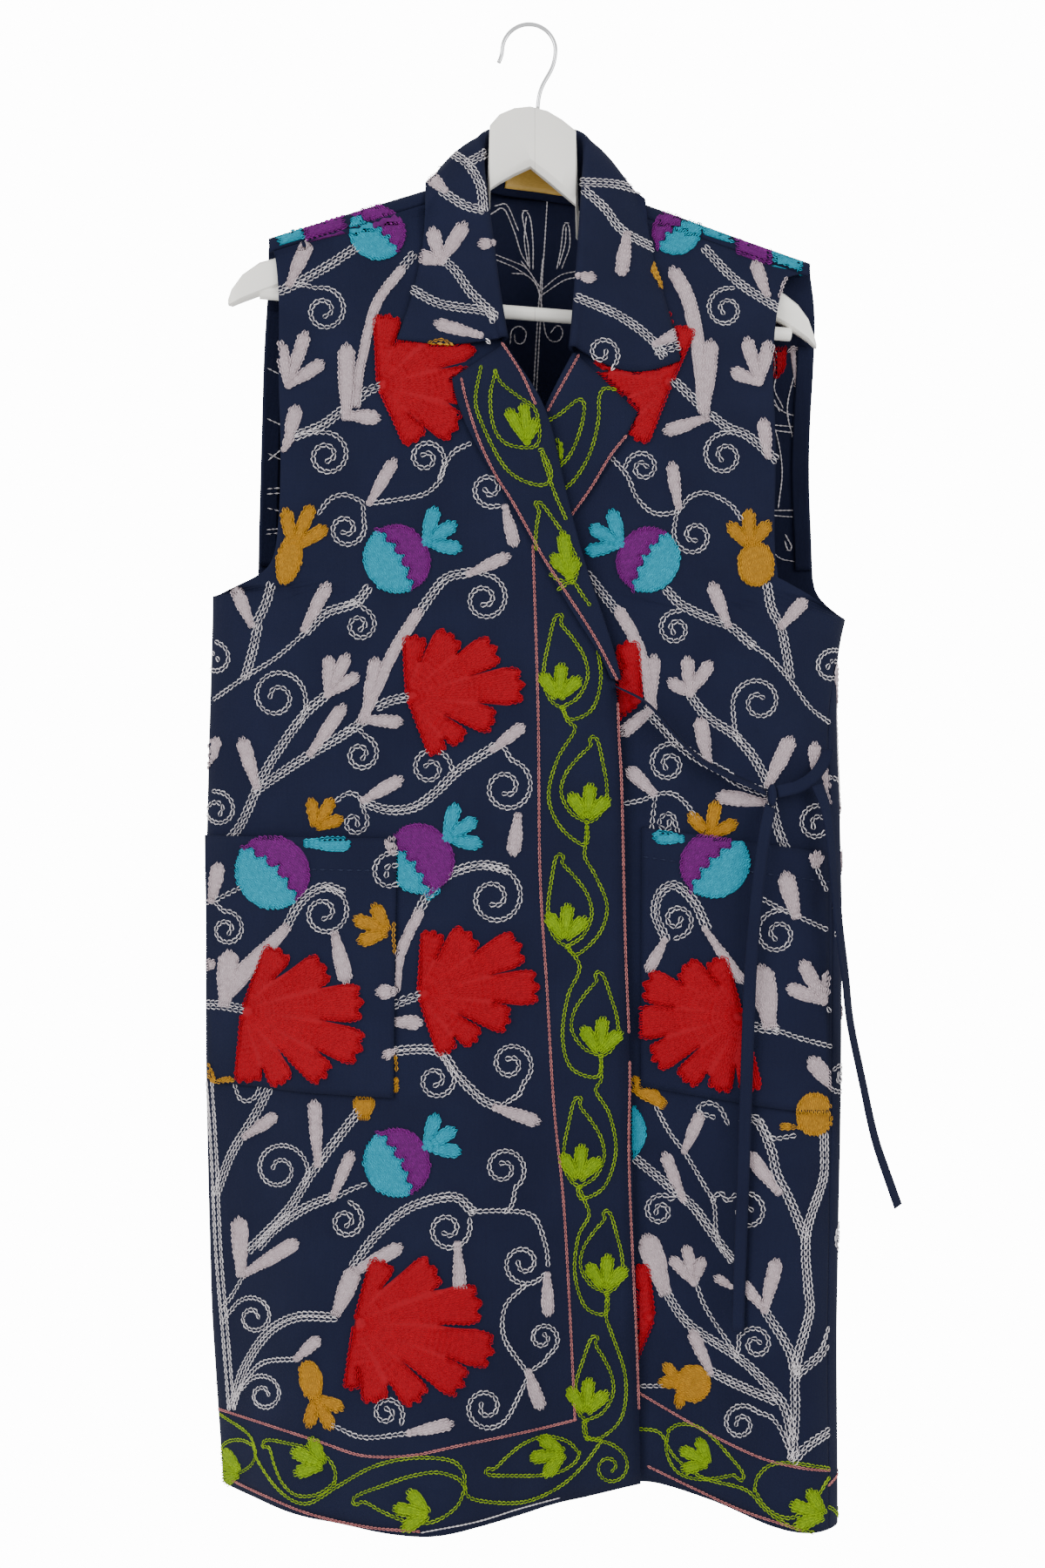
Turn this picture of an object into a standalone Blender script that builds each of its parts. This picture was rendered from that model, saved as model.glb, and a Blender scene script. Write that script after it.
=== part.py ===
"""A long sleeveless wrap vest in navy cotton, hung on a white wooden hanger.

Metres, +Z up. The front faces -Y and the wearer's right front, at -X, laps over the left one.
The origin is inside the crest of the hanger's hook. The body is one flattened tube: front_y and
back_y give its two faces at any place across and height, and every cloth piece is made from them.
"""

import math

import bmesh
import bpy
import numpy as np
from mathutils import Vector
from mathutils.bvhtree import BVHTree

CLOTH = 0.0016
COLLAR_CLOTH = 0.0020
SEAM = 0.0003
BODY_ROUNDNESS = 2.6
SHOULDER_RADIUS = 0.008
SHOULDER_SEAM_DROP = 0.013
SHOULDER_FALL = 0.17
ARM_BOW = 0.15
UNDERLAP = 0.0078
TUCK_START = 0.044
TUCK_END = 0.004
RISE_SHARE = 0.4
SEAM_ANGLE = 0.004
SEAM_ROWS = 0.90
NECK_TURN = 0.022
NECK_INSET = 0.010
SHOULDER_TAPER = 0.030
FOLD_SLACK = 0.0003
LAPEL_BOW = 0.0012
COLLAR_FOLD = 0.0032
FACET_ROOM = 0.0007
COLLAR_CLEARANCE = SEAM + FACET_ROOM + COLLAR_CLOTH / 2.0
STAND_SHARE = 0.30
SEAT_ROUNDS = 8
SEAT_REACH = 0.006
SEAT_ROOM = 0.0006
SEAT_PLACES = [(across, up) for across in (0.0, 0.25, 0.5, 0.75, 1.0) for up in (0.0, 0.25, 0.5, 0.75, 1.0)]
FOLD_SHARE = 0.16
HEM_HEIGHT = -1.0945

# height, left and right side, depth of front and of back, turn with the hanger, shift, hem wave
BODY = np.array([
    (-0.115, -0.2470, 0.2510, 0.044, 0.040, 0.240, 0.000, 0.000),
    (-0.200, -0.2465, 0.2500, 0.044, 0.040, 0.190, -0.002, 0.000),
    (-0.300, -0.2450, 0.2460, 0.044, 0.040, 0.130, -0.004, 0.000),
    (-0.400, -0.2395, 0.2385, 0.044, 0.041, 0.080, -0.005, 0.000),
    (-0.440, -0.2380, 0.2352, 0.044, 0.041, 0.055, -0.006, 0.000),
    (-0.490, -0.2410, 0.2255, 0.044, 0.041, 0.025, -0.008, 0.000),
    (-0.570, -0.2445, 0.2270, 0.044, 0.041, -0.005, -0.010, 0.003),
    (-0.650, -0.2468, 0.2282, 0.043, 0.041, -0.010, -0.011, 0.008),
    (-0.800, -0.2473, 0.2262, 0.041, 0.041, -0.005, -0.012, 0.018),
    (-0.965, -0.2443, 0.2210, 0.040, 0.040, 0.000, -0.013, 0.030),
    (-1.110, -0.2358, 0.2196, 0.039, 0.040, 0.000, -0.014, 0.044),
])
# place across and height of the hem, and how its wave stands there
HEM = np.array([
    (-0.240, -1.0965, 0.75), (-0.215, -1.0950, 0.45), (-0.195, -1.0940, 0.00), (-0.170, -1.0950, -0.45),
    (-0.117, -1.0975, -0.85), (-0.077, -1.0980, -1.00), (-0.036, -1.0945, -0.75), (0.004, -1.0925, -0.05),
    (0.031, -1.0930, 0.35), (0.058, -1.0900, 0.75), (0.080, -1.0880, 0.87), (0.105, -1.0885, 0.55),
    (0.135, -1.0910, -0.10), (0.165, -1.0975, -0.80), (0.195, -1.1015, -1.00), (0.222, -1.1010, -0.80),
])
# place across and height of the shoulder line, from the left tip over the neck to the right tip
SHOULDER_LINE = np.array([
    (-0.2300, -0.1865), (-0.0799, -0.1287), (-0.0560, -0.1198), (0.0000, -0.1135),
    (0.0600, -0.1215), (0.0808, -0.1265), (0.2300, -0.1732),
])
LEFT_NECK, RIGHT_NECK = -0.0560, 0.0600

# height and place across of each edge that isn't a side seam
FRONT_ARMHOLE_LEFT = np.array([
    (-0.4310, -0.2380), (-0.4243, -0.2159), (-0.4172, -0.1979), (-0.4069, -0.1883), (-0.3696, -0.1844),
    (-0.3355, -0.1819), (-0.2797, -0.1850), (-0.2174, -0.1850), (-0.1860, -0.1888), (-0.1700, -0.1905),
])
FRONT_ARMHOLE_RIGHT = np.array([
    (-0.4452, 0.2352), (-0.4300, 0.2051), (-0.4228, 0.1920), (-0.4168, 0.1803), (-0.3961, 0.1771),
    (-0.3316, 0.1790), (-0.2873, 0.1791), (-0.2422, 0.1791), (-0.2037, 0.1864), (-0.1859, 0.1971),
    (-0.1751, 0.2093),
])
BACK_ARMHOLE_LEFT = np.array([
    (-0.4310, -0.2380), (-0.4240, -0.2190), (-0.4153, -0.2086), (-0.3734, -0.2073), (-0.3091, -0.2039),
    (-0.2517, -0.2000), (-0.2083, -0.1954), (-0.1700, -0.1917),
])
BACK_ARMHOLE_RIGHT = np.array([
    (-0.4452, 0.2352), (-0.4330, 0.2230), (-0.4206, 0.2143), (-0.3861, 0.2144), (-0.3233, 0.2125),
    (-0.2611, 0.2152), (-0.2140, 0.2179), (-0.1650, 0.2137),
])
OVER_EDGE = np.array([
    (-1.1100, 0.0795), (-0.4997, 0.0613), (-0.4808, 0.0575), (-0.4492, 0.0480), (-0.4113, 0.0341),
    (-0.3797, 0.0259), (-0.3418, 0.0165), (-0.2976, 0.0082), (-0.2480, -0.0250), (-0.1900, -0.0470),
    (-0.1400, -0.0550), (-0.1200, -0.0560),
])
UNDER_EDGE = np.array([
    (-1.1100, -0.0720), (-0.4997, -0.0550), (-0.4492, -0.0420), (-0.3797, -0.0199), (-0.3418, -0.0105),
    (-0.2966, 0.0083), (-0.2530, 0.0310), (-0.1900, 0.0530), (-0.1450, 0.0595), (-0.1200, 0.0600),
])
# height of a row of cloth at the armhole and at the front edge, from the underarm to the shoulder
LEFT_FRONT_ROWS = (
    (-0.4310, -0.4420), (-0.4243, -0.4330), (-0.4172, -0.4250), (-0.4069, -0.4150), (-0.3860, -0.3920),
    (-0.3550, -0.3600), (-0.3200, -0.3240), (-0.2850, -0.2860), (-0.2500, -0.2480), (-0.2240, -0.2080),
    (-0.2000, -0.1680),
)
RIGHT_FRONT_ROWS = (
    (-0.4452, -0.4420), (-0.4300, -0.4320), (-0.4228, -0.4250), (-0.4168, -0.4150), (-0.3961, -0.3920),
    (-0.3600, -0.3600), (-0.3240, -0.3240), (-0.2873, -0.2880), (-0.2500, -0.2530), (-0.2150, -0.2080),
    (-0.1930, -0.1680),
)
BACK_ROWS = (
    (-0.4310, -0.4452), (-0.4240, -0.4330), (-0.4153, -0.4206), (-0.3980, -0.4030), (-0.3734, -0.3750),
    (-0.3400, -0.3400), (-0.3050, -0.3050), (-0.2700, -0.2700), (-0.2380, -0.2360), (-0.2120, -0.2080),
)
# places across of the back's columns where the arms begin, close together at the neck and at the sides
BACK_TOP = (
    0.2173, 0.2130, 0.2075, 0.2010, 0.190, 0.172, 0.150, 0.126, 0.103, 0.086, 0.0740, 0.0685,
    0.0635, 0.0585, 0.0535, 0.048, 0.024, -0.002, -0.026, -0.0440, -0.0495, -0.0545, -0.0595, -0.0645,
    -0.0700, -0.083, -0.100, -0.122, -0.145, -0.166, -0.180, -0.1885, -0.1958,
)
BODY_HEIGHTS = np.linspace(HEM_HEIGHT, -0.475, 15)
# outer face of each cloth piece, once made, for the pieces that lie on it
SKINS = {}


def read(table, height, column=1):
    """A column of a table at any height, its corners rounded over 16 mm."""
    rows = table[np.argsort(table[:, 0])]
    steps = np.linspace(-0.008, 0.008, 5)
    return sum(np.interp(height + step, rows[:, 0], rows[:, column]) for step in steps) / len(steps)


def edge_at(table, height):
    """A place across on an edge, with its corners kept."""
    rows = table[np.argsort(table[:, 0])]
    return np.interp(height, rows[:, 0], rows[:, 1])


def smooth(value, low, high):
    part = np.clip((value - low) / (high - low), 0.0, 1.0)
    return part * part * (3.0 - 2.0 * part)


def shoulder_height(across):
    steps = np.linspace(-0.010, 0.010, 5)
    return sum(np.interp(across + step, *SHOULDER_LINE.T) for step in steps) / len(steps)


def hem_column(across, column):
    steps = np.linspace(-0.016, 0.016, 5)
    return sum(np.interp(across + step, HEM[:, 0], HEM[:, column]) for step in steps) / len(steps)


def hem_wave(across):
    """Where the lower half stands back, as +1, or comes forward, as -1."""
    return hem_column(across, 2)


def hem_height(across):
    return hem_column(across, 1)


def body_width(height):
    """Centre and half width of the tube."""
    left, right = read(BODY, height, 1), read(BODY, height, 2)
    return (left + right) / 2.0, (right - left) / 2.0


def middle_y(across, height):
    """The sheet midway between front and back: it turns with the hanger above and waves below."""
    near_shoulder = smooth(height, -0.45, -0.20)
    flat = read(BODY, height, 5) * across + read(BODY, height, 6) - ARM_BOW * across**2 * near_shoulder
    return flat + read(BODY, height, 7) * hem_wave(across)


def swell(across, height):
    """How much of its full depth the tube has at a place across: 1 in the middle, 0 at the sides."""
    centre, half = body_width(height)
    inside = np.clip(1.0 - np.abs((across - centre) / half) ** BODY_ROUNDNESS, 0.0, 1.0)
    return inside ** (1.0 / BODY_ROUNDNESS)


def depth(across, height, column):
    """Half thickness of the tube, growing from the shoulder line's rounding to the chest."""
    fall = shoulder_height(across) - height
    grown = smooth(fall, SHOULDER_RADIUS, SHOULDER_RADIUS + SHOULDER_FALL)
    arch = SHOULDER_RADIUS * (1.0 - grown) + 0.35 * SHOULDER_RADIUS * smooth(height, -0.43, -0.30) * grown
    return arch + (read(BODY, height, column) * grown - arch * grown) * swell(across, height)


def front_y(across, height):
    return middle_y(across, height) - depth(across, height, 3)


def back_y(across, height):
    """The back has two folds of its own, and room for the neck."""
    two_folds = 0.22 * np.cos(2.0 * np.pi * (across - 0.02) / 0.155)
    own_folds = read(BODY, height, 7) * (two_folds - 0.45 * hem_wave(across))
    neck_room = 0.020 * np.clip(1.0 - (across / 0.075) ** 2, 0.0, 1.0) ** 2 * smooth(height, -0.28, -0.13)
    return (
        middle_y(across, height)
        + depth(across, height, 4)
        + own_folds * swell(across, height)
        + neck_room
    )


def angle_of(across, height):
    """The angle round the tube of a place across: -90 degrees at the left side, 0 in front."""
    centre, half = body_width(height)
    return np.arcsin(np.clip((across - centre) / half, -1.0, 1.0))


def round_tube(angle, height):
    """A point of the tube at an angle that may pass a side onto the other face."""
    centre, half = body_width(height)
    across = centre + half * np.sin(angle)
    y = np.where(np.cos(angle) >= 0.0, front_y(across, height), back_y(across, height))
    return across, y


def left_seam_angle(height):
    """The left side seam lies just behind the side."""
    return np.radians(-90.0 - 1.5 * smooth(-height, 0.431, 0.50))


def right_seam_angle(height):
    """Below the underarm's corner the back comes round the right side onto the front."""
    return np.radians(90.0 - 17.0 * smooth(-height, 0.4452, 0.50))


def no_tuck(across, height):
    return np.zeros_like(across)


def under_tuck(across, height):
    """How far the left front lies inside the tube, to pass behind the right one."""
    hidden = edge_at(OVER_EDGE, height) + TUCK_START - across
    return UNDERLAP * smooth(hidden, 0.0, TUCK_START - TUCK_END)


def front_surface(rows, armhole, edge, seam_angle, tuck):
    """A front as a surface of (across, up), both 0 to 1: from its side to its front edge, hem to shoulder.

    rows pairs heights at the side and at the edge, seam_angle(height) is where the side seam lies, and
    tuck(across, height) is how far the cloth lies inside the tube.
    """
    side_heights, edge_heights = np.array(rows).T
    levels = np.linspace(0.0, 1.0, len(side_heights))

    def surface(across, up):
        side_height = np.interp(up, levels, side_heights)
        edge_height = np.interp(up, levels, edge_heights)
        side_x = edge_at(armhole, side_height)
        below_arm = side_height <= armhole[0, 0]
        side_angle = np.where(below_arm, seam_angle(side_height), angle_of(side_x, side_height))
        edge_angle = angle_of(edge_at(edge, edge_height), edge_height)
        angle = side_angle + (edge_angle - side_angle) * across
        centre, half = body_width(side_height)
        x = centre + half * np.sin(angle)
        start_x = centre + half * np.sin(side_angle)
        end_x = centre + half * np.sin(edge_angle)
        part = (x - start_x) / (end_x - start_x)
        height = side_height + (edge_height - side_height) * part
        height = height + (hem_height(x) - HEM_HEIGHT) * smooth(-height, 0.80, 1.09)
        seam_height = shoulder_height(x) - SHOULDER_SEAM_DROP - SEAM
        height = height + (seam_height - height) * np.clip((up - SEAM_ROWS) / (1.0 - SEAM_ROWS), 0.0, 1.0)
        x, y = round_tube(angle, height)
        return np.stack([x, y + tuck(x, height), height], axis=-1)

    return surface


def back_surface(across, up):
    """The back, side seam to side seam: up past the armholes, over the arms, down to the shoulder seam."""
    levels = np.linspace(0.0, 1.0, len(BODY_HEIGHTS) + len(BACK_ROWS))
    right_heights = np.concatenate([BODY_HEIGHTS, np.array(BACK_ROWS)[:, 1]])
    left_heights = np.concatenate([BODY_HEIGHTS, np.array(BACK_ROWS)[:, 0]])
    rise = np.clip(up, -0.1, 1.0)
    over = np.clip(up - 1.0, 0.0, 1.0)
    right_height = np.interp(rise, levels, right_heights)
    left_height = np.interp(rise, levels, left_heights)
    right_x = edge_at(BACK_ARMHOLE_RIGHT, right_height)
    left_x = edge_at(BACK_ARMHOLE_LEFT, left_height)
    right_angle = np.where(
        right_height <= BACK_ARMHOLE_RIGHT[0, 0],
        right_seam_angle(right_height) + SEAM_ANGLE,
        np.pi - angle_of(right_x, right_height),
    )
    left_angle = np.where(
        left_height <= BACK_ARMHOLE_LEFT[0, 0],
        2.0 * np.pi + left_seam_angle(left_height) - SEAM_ANGLE,
        np.pi - angle_of(left_x, left_height),
    )
    angle = right_angle + (left_angle - right_angle) * across
    centre, half = body_width((right_height + left_height) / 2.0)
    x = centre + half * np.sin(angle)
    part = np.clip((x - right_x) / (left_x - right_x), 0.0, 1.0)
    height = right_height + (left_height - right_height) * part
    height = height + (hem_height(x) - HEM_HEIGHT) * smooth(-height, 0.80, 1.09)
    # over the shoulders: up to the arm, round it, and down to the shoulder seam; the neck stops at its seam
    x = x * (1.0 - SHOULDER_TAPER * over * (x / BACK_TOP[0]) ** 4)
    beside_left = smooth(x, LEFT_NECK + NECK_INSET - NECK_TURN, LEFT_NECK + NECK_INSET)
    beside_right = smooth(-x, -RIGHT_NECK + NECK_INSET - NECK_TURN, -RIGHT_NECK + NECK_INSET)
    shoulder = 1.0 - beside_left * beside_right
    to_arm = shoulder_height(x) - SHOULDER_RADIUS - height
    round_arm = np.pi * SHOULDER_RADIUS + SHOULDER_SEAM_DROP - SHOULDER_RADIUS
    risen = np.clip(over / RISE_SHARE, 0.0, 1.0)
    rounded = np.clip((over - RISE_SHARE) / (1.0 - RISE_SHARE), 0.0, 1.0)
    by_row = to_arm * risen + round_arm * rounded
    travel = shoulder * by_row + (1.0 - shoulder) * over * (to_arm + shoulder * round_arm)
    turned = np.clip((travel - to_arm) / SHOULDER_RADIUS, 0.0, np.pi)
    down_front = np.clip(travel - to_arm - np.pi * SHOULDER_RADIUS, 0.0, 1.0)
    level = height + np.minimum(travel, to_arm)
    side_x, y = round_tube(angle, level)
    neck_room = back_y(x, level) - middle_y(x, level) - SHOULDER_RADIUS
    arm_y = middle_y(x, level) + SHOULDER_RADIUS * np.cos(turned) + neck_room * (1.0 - turned / np.pi)
    y = np.where(turned > 0.0, arm_y, y)
    return np.stack([x, y, level + SHOULDER_RADIUS * np.sin(turned) - down_front], axis=-1)


def curve(table, along):
    """A smooth curve through a table's rows, which lie at even steps of along from 0 to 1 (Catmull-Rom)."""
    rows = np.asarray(table, dtype=float)
    place = np.clip(along, 0.0, 1.0) * (len(rows) - 1)
    first = np.clip(np.floor(place).astype(int), 0, len(rows) - 2)
    step = (place - first)[..., None]
    padded = np.vstack([2.0 * rows[0] - rows[1], rows, 2.0 * rows[-1] - rows[-2]])
    before, start, end, after = (padded[first + offset] for offset in range(4))
    squared = 2.0 * before - 5.0 * start + 4.0 * end - after
    cubed = 3.0 * (start - end) + after - before
    return start + 0.5 * step * (end - before + step * (squared + step * cubed))


def unit(vectors):
    return vectors / np.maximum(np.linalg.norm(vectors, axis=-1, keepdims=True), 1e-12)


def lapel_surface(rows, outer_edge, roll_edge, way, tuck):
    """A lapel's face as a surface of (across, up), lying on its front.

    across runs from -1 to 0 round the fold at the roll line and from 0 to 1 out to the free edge, and up
    from the point where the fronts cross to the notch. way is +1 where the roll is the piece's right side.
    """
    roll_heights, outer_heights = np.array(rows).T
    levels = np.linspace(0.0, 1.0, len(rows))
    radius = CLOTH + SEAM / 2.0 + FOLD_SLACK

    def surface(across, up):
        roll_height = np.interp(up, levels, roll_heights)
        outer_height = np.interp(up, levels, outer_heights)
        roll_x = edge_at(roll_edge, roll_height)
        outer_x = edge_at(outer_edge, outer_height)
        flat = np.clip(across, 0.0, None)
        x = roll_x + (outer_x - roll_x) * flat
        height = roll_height + (outer_height - roll_height) * flat
        turn = np.pi / 2.0 * (1.0 + 2.0 * np.clip(across, -1.0, 0.0))
        bow = LAPEL_BOW * np.sin(np.pi * np.clip(across, 0.0, 1.0)) * np.sin(np.pi * np.clip(up, 0.0, 1.0))
        y = front_y(x, height) + tuck(x, height) + CLOTH - radius - radius * np.sin(turn) - bow
        x = x + way * (SEAM + FACET_ROOM + radius * np.where(across < 0.0, np.cos(turn), 0.0))
        return np.stack([x, y, height], axis=-1)

    return surface


def collar_lines(along):
    """The collar's seam, roll and free edge at places along the neck, with its swelling and its dip."""
    lines = np.moveaxis(curve(COLLAR, along), -1, 0)
    wrap, seam_x, seam_z, roll_x, roll_z, roll_y, edge_x, edge_z, bulge, dip = lines
    wrap = np.clip(wrap, 0.0, 1.0)

    def on_tube(x, height, lift):
        return front_y(x, height) * (1.0 - wrap) + back_y(x, height) * wrap + lift * (2.0 * wrap - 1.0)

    foot_lift = -(CLOTH + SEAM + FACET_ROOM + COLLAR_CLOTH / 2.0)
    seam = np.stack([seam_x, on_tube(seam_x, seam_z, foot_lift), seam_z], axis=-1)
    roll = np.stack([roll_x, roll_y, roll_z], axis=-1)
    edge = np.stack([edge_x, on_tube(edge_x, edge_z, COLLAR_CLEARANCE), edge_z], axis=-1)
    return seam, roll, edge, bulge, dip


def collar_surface(across, along):
    """The collar's mid cloth: across from the neck seam over the roll to the free edge, along the neck."""
    seam, roll, edge, bulge, dip = collar_lines(along)
    heading = collar_lines(along + 0.01)[1] - collar_lines(along - 0.01)[1]
    up = unit(roll - seam)
    out = unit(np.cross(up, heading))
    fold_centre = roll - up * COLLAR_FOLD
    chord = unit(edge - fold_centre)
    puff = unit(up - chord * np.sum(up * chord, axis=-1, keepdims=True))

    part = across[..., None]
    stand = seam + (fold_centre - out * COLLAR_FOLD - seam) * np.clip(part / STAND_SHARE, -0.1, 1.0)
    turn = np.pi * np.clip((part - STAND_SHARE) / FOLD_SHARE, 0.0, 1.0)
    fold = fold_centre + COLLAR_FOLD * (up * np.sin(turn) - out * np.cos(turn))
    start = STAND_SHARE + FOLD_SHARE
    down = np.clip((part - start) / (1.0 - start), 0.0, 1.1)
    hump = np.sin(np.pi * np.clip(down, 0.0, 1.0))
    fall_start = fold_centre + out * COLLAR_FOLD
    fall = fall_start + (edge - fall_start) * down + puff * bulge[..., None] * hump
    fall = fall - np.array([0.0, 0.0, 1.0]) * dip[..., None] * hump
    fall = clear_of_body(fall, COLLAR_CLEARANCE)
    return np.where(part < STAND_SHARE, stand, np.where(part < start, fold, fall))


def clear_of_body(points, clearance):
    """Points moved out of the body and its shoulders until they stand a clearance off its outer face."""
    x, y, height = np.moveaxis(points, -1, 0)
    middle = middle_y(x, height)
    drop = shoulder_height(x) - SHOULDER_RADIUS - height
    front, back = front_y(x, height) - clearance, back_y(x, height) + clearance
    beside = np.where(y < middle, np.minimum(y, front), np.maximum(y, back))
    reach = np.hypot(y - middle, drop)
    push = np.maximum((SHOULDER_RADIUS + clearance) / np.maximum(reach, 1e-6), 1.0)
    on_arm = drop < 0.0
    y = np.where(on_arm, middle + (y - middle) * push, beside)
    height = np.where(on_arm, height + drop - drop * push, height)
    return np.stack([x, y, height], axis=-1)


def raised(surface, lift):
    """A surface moved along its own outward normal by lift(across, up)."""

    def moved(across, up):
        return surface(across, up) + normals(surface, across, up) * lift(across, up)[..., None]

    return moved


def normals(surface, across, up, step=1e-3):
    """Normals by small differences, on the side that across x up gives."""
    along = surface(across + step, up) - surface(across - step, up)
    upward = surface(across, up + step) - surface(across, up - step)
    return unit(np.cross(along, upward))


def patch(corners, tuck):
    """A four-cornered piece of the front, by its corners' (across, height): bottom pair, then top pair."""
    (low_a, low_b), (high_a, high_b) = np.array(corners)

    def surface(across, up):
        low = [low_a[k] + (low_b[k] - low_a[k]) * across for k in (0, 1)]
        high = [high_a[k] + (high_b[k] - high_a[k]) * across for k in (0, 1)]
        x, height = (low[k] + (high[k] - low[k]) * up for k in (0, 1))
        return np.stack([x, front_y(x, height) + tuck(x, height), height], axis=-1)

    return surface


def material(name, colour, roughness, metallic=0.0):
    made = bpy.data.materials.new(name)
    made.use_nodes = True
    shader = made.node_tree.nodes["Principled BSDF"]
    shader.inputs["Base Color"].default_value = (*colour, 1.0)
    shader.inputs["Roughness"].default_value = roughness
    shader.inputs["Metallic"].default_value = metallic
    return made


def add_object(name, mesh, finish):
    mesh.materials.append(finish)
    made = bpy.data.objects.new(name, mesh)
    bpy.context.scene.collection.objects.link(made)
    mesh.shade_smooth()
    mesh.set_sharp_from_angle(angle=math.radians(40.0))
    return made


def solid_from_rings(name, rings, finish, closed_ring=True):
    """A closed solid bridged through rings of points, with its two ends filled."""
    mesh = bmesh.new()
    loops = [[mesh.verts.new(point) for point in ring] for ring in rings]
    count = len(loops[0])
    for ring, following in zip(loops, loops[1:]):
        for index in range(count):
            after = (index + 1) % count
            mesh.faces.new((ring[index], ring[after], following[after], following[index]))
    mesh.faces.new(loops[0][::-1])
    mesh.faces.new(loops[-1])
    finished = bpy.data.meshes.new(name)
    if mesh.calc_volume(signed=True) < 0.0:
        bmesh.ops.reverse_faces(mesh, faces=mesh.faces)
    mesh.to_mesh(finished)
    mesh.free()
    return add_object(name, finished, finish)


def skin_tree(names):
    """The named pieces' outer faces as one tree for nearest-point lookups, its normals outward."""
    corners, faces = [], []
    for name in names:
        skin, outward = SKINS[name]
        rows, columns = skin.shape[:2]
        first = len(corners)
        corners += [Vector(point) for point in skin.reshape(-1, 3)]
        for row in range(rows - 1):
            for column in range(columns - 1):
                start = first + row * columns + column
                around = (start, start + 1, start + columns + 1, start + columns)
                faces.append(around if outward > 0.0 else around[::-1])
    return BVHTree.FromPolygons(corners, faces)


def seated(sides, names, gap, first_column):
    """Both faces of a wall, moved off the named pieces wherever they lie closer than the gap.

    Each patch from first_column on is tried at several places, so that its flat facets clear those below.
    """
    tree = skin_tree(names)
    for _ in range(SEAT_ROUNDS):
        moves = np.zeros_like(sides[0])
        for side in sides:
            for row in range(side.shape[0] - 1):
                for column in range(first_column, side.shape[1] - 1):
                    push = furthest_push(tree, side[row:row + 2, column:column + 2], gap)
                    for below, beside in ((0, 0), (0, 1), (1, 0), (1, 1)):
                        corner = (row + below, column + beside)
                        if push.length_squared > np.sum(moves[corner] ** 2):
                            moves[corner] = push
        if not moves.any():
            break
        sides = [side + moves for side in sides]
    return sides


def furthest_push(tree, corners, gap):
    """The largest move that any of a patch's trial places needs to stand the gap off the tree's faces."""
    longest = Vector((0.0, 0.0, 0.0))
    for across, up in SEAT_PLACES:
        place = Vector(
            (corners[0, 0] * (1.0 - across) + corners[0, 1] * across) * (1.0 - up)
            + (corners[1, 0] * (1.0 - across) + corners[1, 1] * across) * up
        )
        nearest, normal, _, _ = tree.find_nearest(place, SEAT_REACH)
        if nearest is None:
            continue
        height = (place - nearest).dot(normal)
        if height < gap and (gap - height) > longest.length:
            longest = normal * (gap - height)
    return longest


def cloth(name, surface, columns, rows, thickness, finish, outward=1.0, centred=False, on=(),
          first_column=0):
    """A wall of cloth: the surface at each column and row, and again a thickness inside it.

    outward is +1 where across x up points out of the garment. A piece that lies on others is then moved
    just clear of their outer faces.
    """
    across, up = np.meshgrid(columns, rows)
    face = surface(across, up)
    normal = normals(surface, across, up) * outward
    outer = face + normal * thickness / 2.0 if centred else face
    sides = [outer, outer - normal * thickness]
    if on:
        sides = seated(sides, on, SEAM + SEAT_ROOM, first_column)
    SKINS[name] = (sides[0], outward)
    mesh = bmesh.new()
    height, width = face.shape[:2]
    sides = [[[mesh.verts.new(point) for point in line] for line in side] for side in sides]
    for row in range(height - 1):
        for column in range(width - 1):
            for side in sides:
                start, beside = side[row][column], side[row][column + 1]
                above, opposite = side[row + 1][column], side[row + 1][column + 1]
                mesh.faces.new((start, beside, opposite))
                mesh.faces.new((start, opposite, above))
    rim = (
        [(0, column) for column in range(width)]
        + [(row, width - 1) for row in range(1, height)]
        + [(height - 1, column) for column in range(width - 2, -1, -1)]
        + [(row, 0) for row in range(height - 2, 0, -1)]
    )
    for (row, column), (next_row, next_column) in zip(rim, rim[1:] + rim[:1]):
        mesh.faces.new((
            sides[0][row][column], sides[0][next_row][next_column],
            sides[1][next_row][next_column], sides[1][row][column],
        ))
    bmesh.ops.recalc_face_normals(mesh, faces=mesh.faces)
    if mesh.calc_volume(signed=True) < 0.0:
        bmesh.ops.reverse_faces(mesh, faces=mesh.faces)
    finished = bpy.data.meshes.new(name)
    mesh.to_mesh(finished)
    mesh.free()
    return add_object(name, finished, finish)


def ribbon(name, route, width, thickness, count, finish):
    """A flat tie: a strip swept along a route of (across, height, lift off the front, twist in degrees)."""
    x, height, lift, twist = np.moveaxis(curve(route, np.linspace(0.0, 1.0, count)), -1, 0)
    points = np.stack([x, front_y(x, height) - lift, height], axis=-1)
    heading = unit(np.gradient(points, axis=0))
    flat = unit(np.cross(heading, np.array([0.0, -1.0, 0.0])))
    facing = np.cross(flat, heading)
    angle = np.radians(twist)[:, None]
    wide = flat * np.cos(angle) + facing * np.sin(angle)
    thin = np.cross(heading, wide)
    corners = ((-1, -1), (1, -1), (1, 1), (-1, 1))
    rings = [
        [
            points[index] + (wide[index] * side * width + thin[index] * face * thickness) / 2.0
            for side, face in corners
        ]
        for index in range(count)
    ]
    return solid_from_rings(name, rings, finish)


def tube(name, centres, radius, sides, finish):
    """A round bar or wire through a row of centres."""
    heading = unit(np.gradient(centres, axis=0))
    across = unit(np.cross(heading, np.array([0.02, 1.0, 0.01])))
    beside = np.cross(heading, across)
    turns = 2.0 * np.pi * np.arange(sides) / sides
    rings = [
        [centre + radius * (np.cos(turn) * a + np.sin(turn) * b) for turn in turns]
        for centre, a, b in zip(centres, across, beside)
    ]
    return solid_from_rings(name, rings, finish)


# ---------------------------------------------------------------- the pieces

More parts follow.
